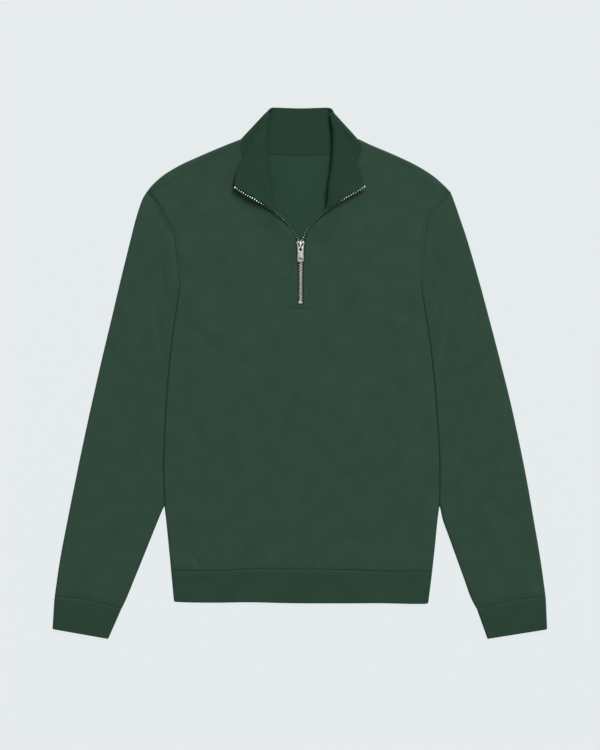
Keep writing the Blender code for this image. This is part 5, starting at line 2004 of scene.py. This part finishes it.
class SWEATSHIRT_OT_collar(bpy.types.Operator):
    """Make the ribbed stand collar, rolled open at the front"""

    bl_idname = "sweatshirt.collar"
    bl_label = "Stand Collar"

    def execute(self, context):
        cloth = context.scene.sweatshirt_cloth
        finish = finish_of("green_collar_rib", rib_finish, tuple(cloth.collar), cloth.wale / MM, COLLAR_FURROW_SHADE)
        made = build_collar(cloth.rib_relief / MM * COLLAR_RELIEF, finish)
        return {"FINISHED"}


class SWEATSHIRT_OT_zip_tapes(bpy.types.Operator):
    """Make both woven tapes of the zip"""

    bl_idname = "sweatshirt.zip_tapes"
    bl_label = "Zip Tapes"

    def execute(self, context):
        finish = finish_of("green_zip_tape", tape_finish, tuple(context.scene.sweatshirt_zip.tape))
        for side in BOTH:
            build_tape(side, finish)
        return {"FINISHED"}


class SWEATSHIRT_OT_zip_teeth(bpy.types.Operator):
    """Make the closed row of teeth and both open ones"""

    bl_idname = "sweatshirt.zip_teeth"
    bl_label = "Zip Teeth"

    def execute(self, context):
        fastener = context.scene.sweatshirt_zip
        for side in BOTH:
            build_open_teeth(side, fastener.pitch / MM, zip_metal(fastener))
        build_closed_teeth(fastener.pitch / MM, zip_metal(fastener))
        return {"FINISHED"}


class SWEATSHIRT_OT_slider(bpy.types.Operator):
    """Make the slider of the zip"""

    bl_idname = "sweatshirt.slider"
    bl_label = "Slider"

    def execute(self, context):
        build_slider(zip_metal(context.scene.sweatshirt_zip))
        return {"FINISHED"}


class SWEATSHIRT_OT_pull_tab(bpy.types.Operator):
    """Make the slider's pull tab, which turns on its bridge"""

    bl_idname = "sweatshirt.pull_tab"
    bl_label = "Pull Tab"

    def execute(self, context):
        build_pull_tab(zip_metal(context.scene.sweatshirt_zip))
        return {"FINISHED"}


class SWEATSHIRT_OT_sewing(bpy.types.Operator):
    """Sew the rows of stitches beside the seams"""

    bl_idname = "sweatshirt.sewing"
    bl_label = "Stitching"

    def execute(self, context):
        settings = context.scene.sweatshirt_sewing
        build_sewing(settings, finish_of("sewing_thread", thread_finish, tuple(settings.thread)))
        return {"FINISHED"}


def add_area_light(name, location, wide, power):
    """A square light that faces the garment."""
    lamp = bpy.data.lights.new(name, "AREA")
    lamp.shape = "SQUARE"
    lamp.size = wide
    lamp.energy = power
    made = bpy.data.objects.new(name, lamp)
    made.location = location
    made.rotation_euler = Vector(location).to_track_quat("Z", "Y").to_euler()
    bpy.context.scene.collection.objects.link(made)


class SWEATSHIRT_OT_stage(bpy.types.Operator):
    """Set up the pale floor, the soft light and the camera above"""

    bl_idname = "sweatshirt.stage"
    bl_label = "Stage"

    def execute(self, context):
        stage = context.scene.sweatshirt_stage
        mesh = bpy.data.meshes.new("floor")
        corners = ((-1, -1, 0), (1, -1, 0), (1, 1, 0), (-1, 1, 0))
        mesh.from_pydata((np.array(corners) * FLOOR_HALF).tolist(), [], [(0, 1, 2, 3)])
        mesh.materials.append(finish_of("pale_floor", floor_finish, tuple(stage.floor), stage.glow))
        floor = bpy.data.objects.new("floor", mesh)
        context.scene.collection.objects.link(floor)

        world = bpy.data.worlds.new("surround")
        world.use_nodes = True
        background = world.node_tree.nodes["Background"]
        background.inputs["Color"].default_value = (0.97, 0.985, 1, 1)
        background.inputs["Strength"].default_value = stage.sky
        context.scene.world = world
        add_area_light("top_light", (0, 0, 7), 3.6, stage.top)
        add_area_light("side_light", (2.4, 5.6, 8.4), 4.0, stage.key)
        add_area_light("fill_light", (-2.4, -0.3, 2.0), 1.6, stage.fill)

        lens = bpy.data.cameras.new("camera")
        lens.sensor_fit = "HORIZONTAL"
        lens.sensor_width = 36
        lens.lens = 36 * stage.camera_away / stage.view_wide
        lens.clip_end = 100
        camera = bpy.data.objects.new("camera", lens)
        camera.location = (stage.view_x, stage.view_y, stage.camera_away)
        context.scene.collection.objects.link(camera)
        context.scene.camera = camera
        context.scene.view_settings.view_transform = "Standard"
        return {"FINISHED"}


OPERATORS = (
    SWEATSHIRT_OT_zip_tapes,
    SWEATSHIRT_OT_sewing,
    SWEATSHIRT_OT_front,
    SWEATSHIRT_OT_back,
    SWEATSHIRT_OT_sleeves,
    SWEATSHIRT_OT_cuffs,
    SWEATSHIRT_OT_hem_band,
    SWEATSHIRT_OT_collar,
    SWEATSHIRT_OT_zip_teeth,
    SWEATSHIRT_OT_slider,
    SWEATSHIRT_OT_pull_tab,
    SWEATSHIRT_OT_stage,
)
SETTINGS = (
    ("sweatshirt_cloth", ClothSettings),
    ("sweatshirt_sewing", SewingSettings),
    ("sweatshirt_zip", ZipSettings),
    ("sweatshirt_stage", StageSettings),
)


class SWEATSHIRT_PT_pieces(bpy.types.Panel):
    """Settings and pieces of the sweatshirt"""

    bl_idname = "SWEATSHIRT_PT_pieces"
    bl_label = "Sweatshirt"
    bl_space_type = "VIEW_3D"
    bl_region_type = "UI"
    bl_category = "Sweatshirt"

    def draw(self, context):
        for name, group in SETTINGS:
            box = self.layout.box()
            settings = getattr(context.scene, name)
            for key in group.__annotations__:
                box.prop(settings, key)
        column = self.layout.column(align=True)
        for operator in OPERATORS:
            column.operator(operator.bl_idname)


CLASSES = tuple(group for _, group in SETTINGS) + OPERATORS + (SWEATSHIRT_PT_pieces,)


def register():
    for item in CLASSES:
        bpy.utils.register_class(item)
    for name, group in SETTINGS:
        setattr(bpy.types.Scene, name, bpy.props.PointerProperty(type=group))


def unregister():
    for name, _ in SETTINGS:
        delattr(bpy.types.Scene, name)
    for item in reversed(CLASSES):
        bpy.utils.unregister_class(item)


def main():
    register()
    for operator in OPERATORS:
        group, name = operator.bl_idname.split(".")
        getattr(getattr(bpy.ops, group), name)()


if __name__ == "__main__":
    main()
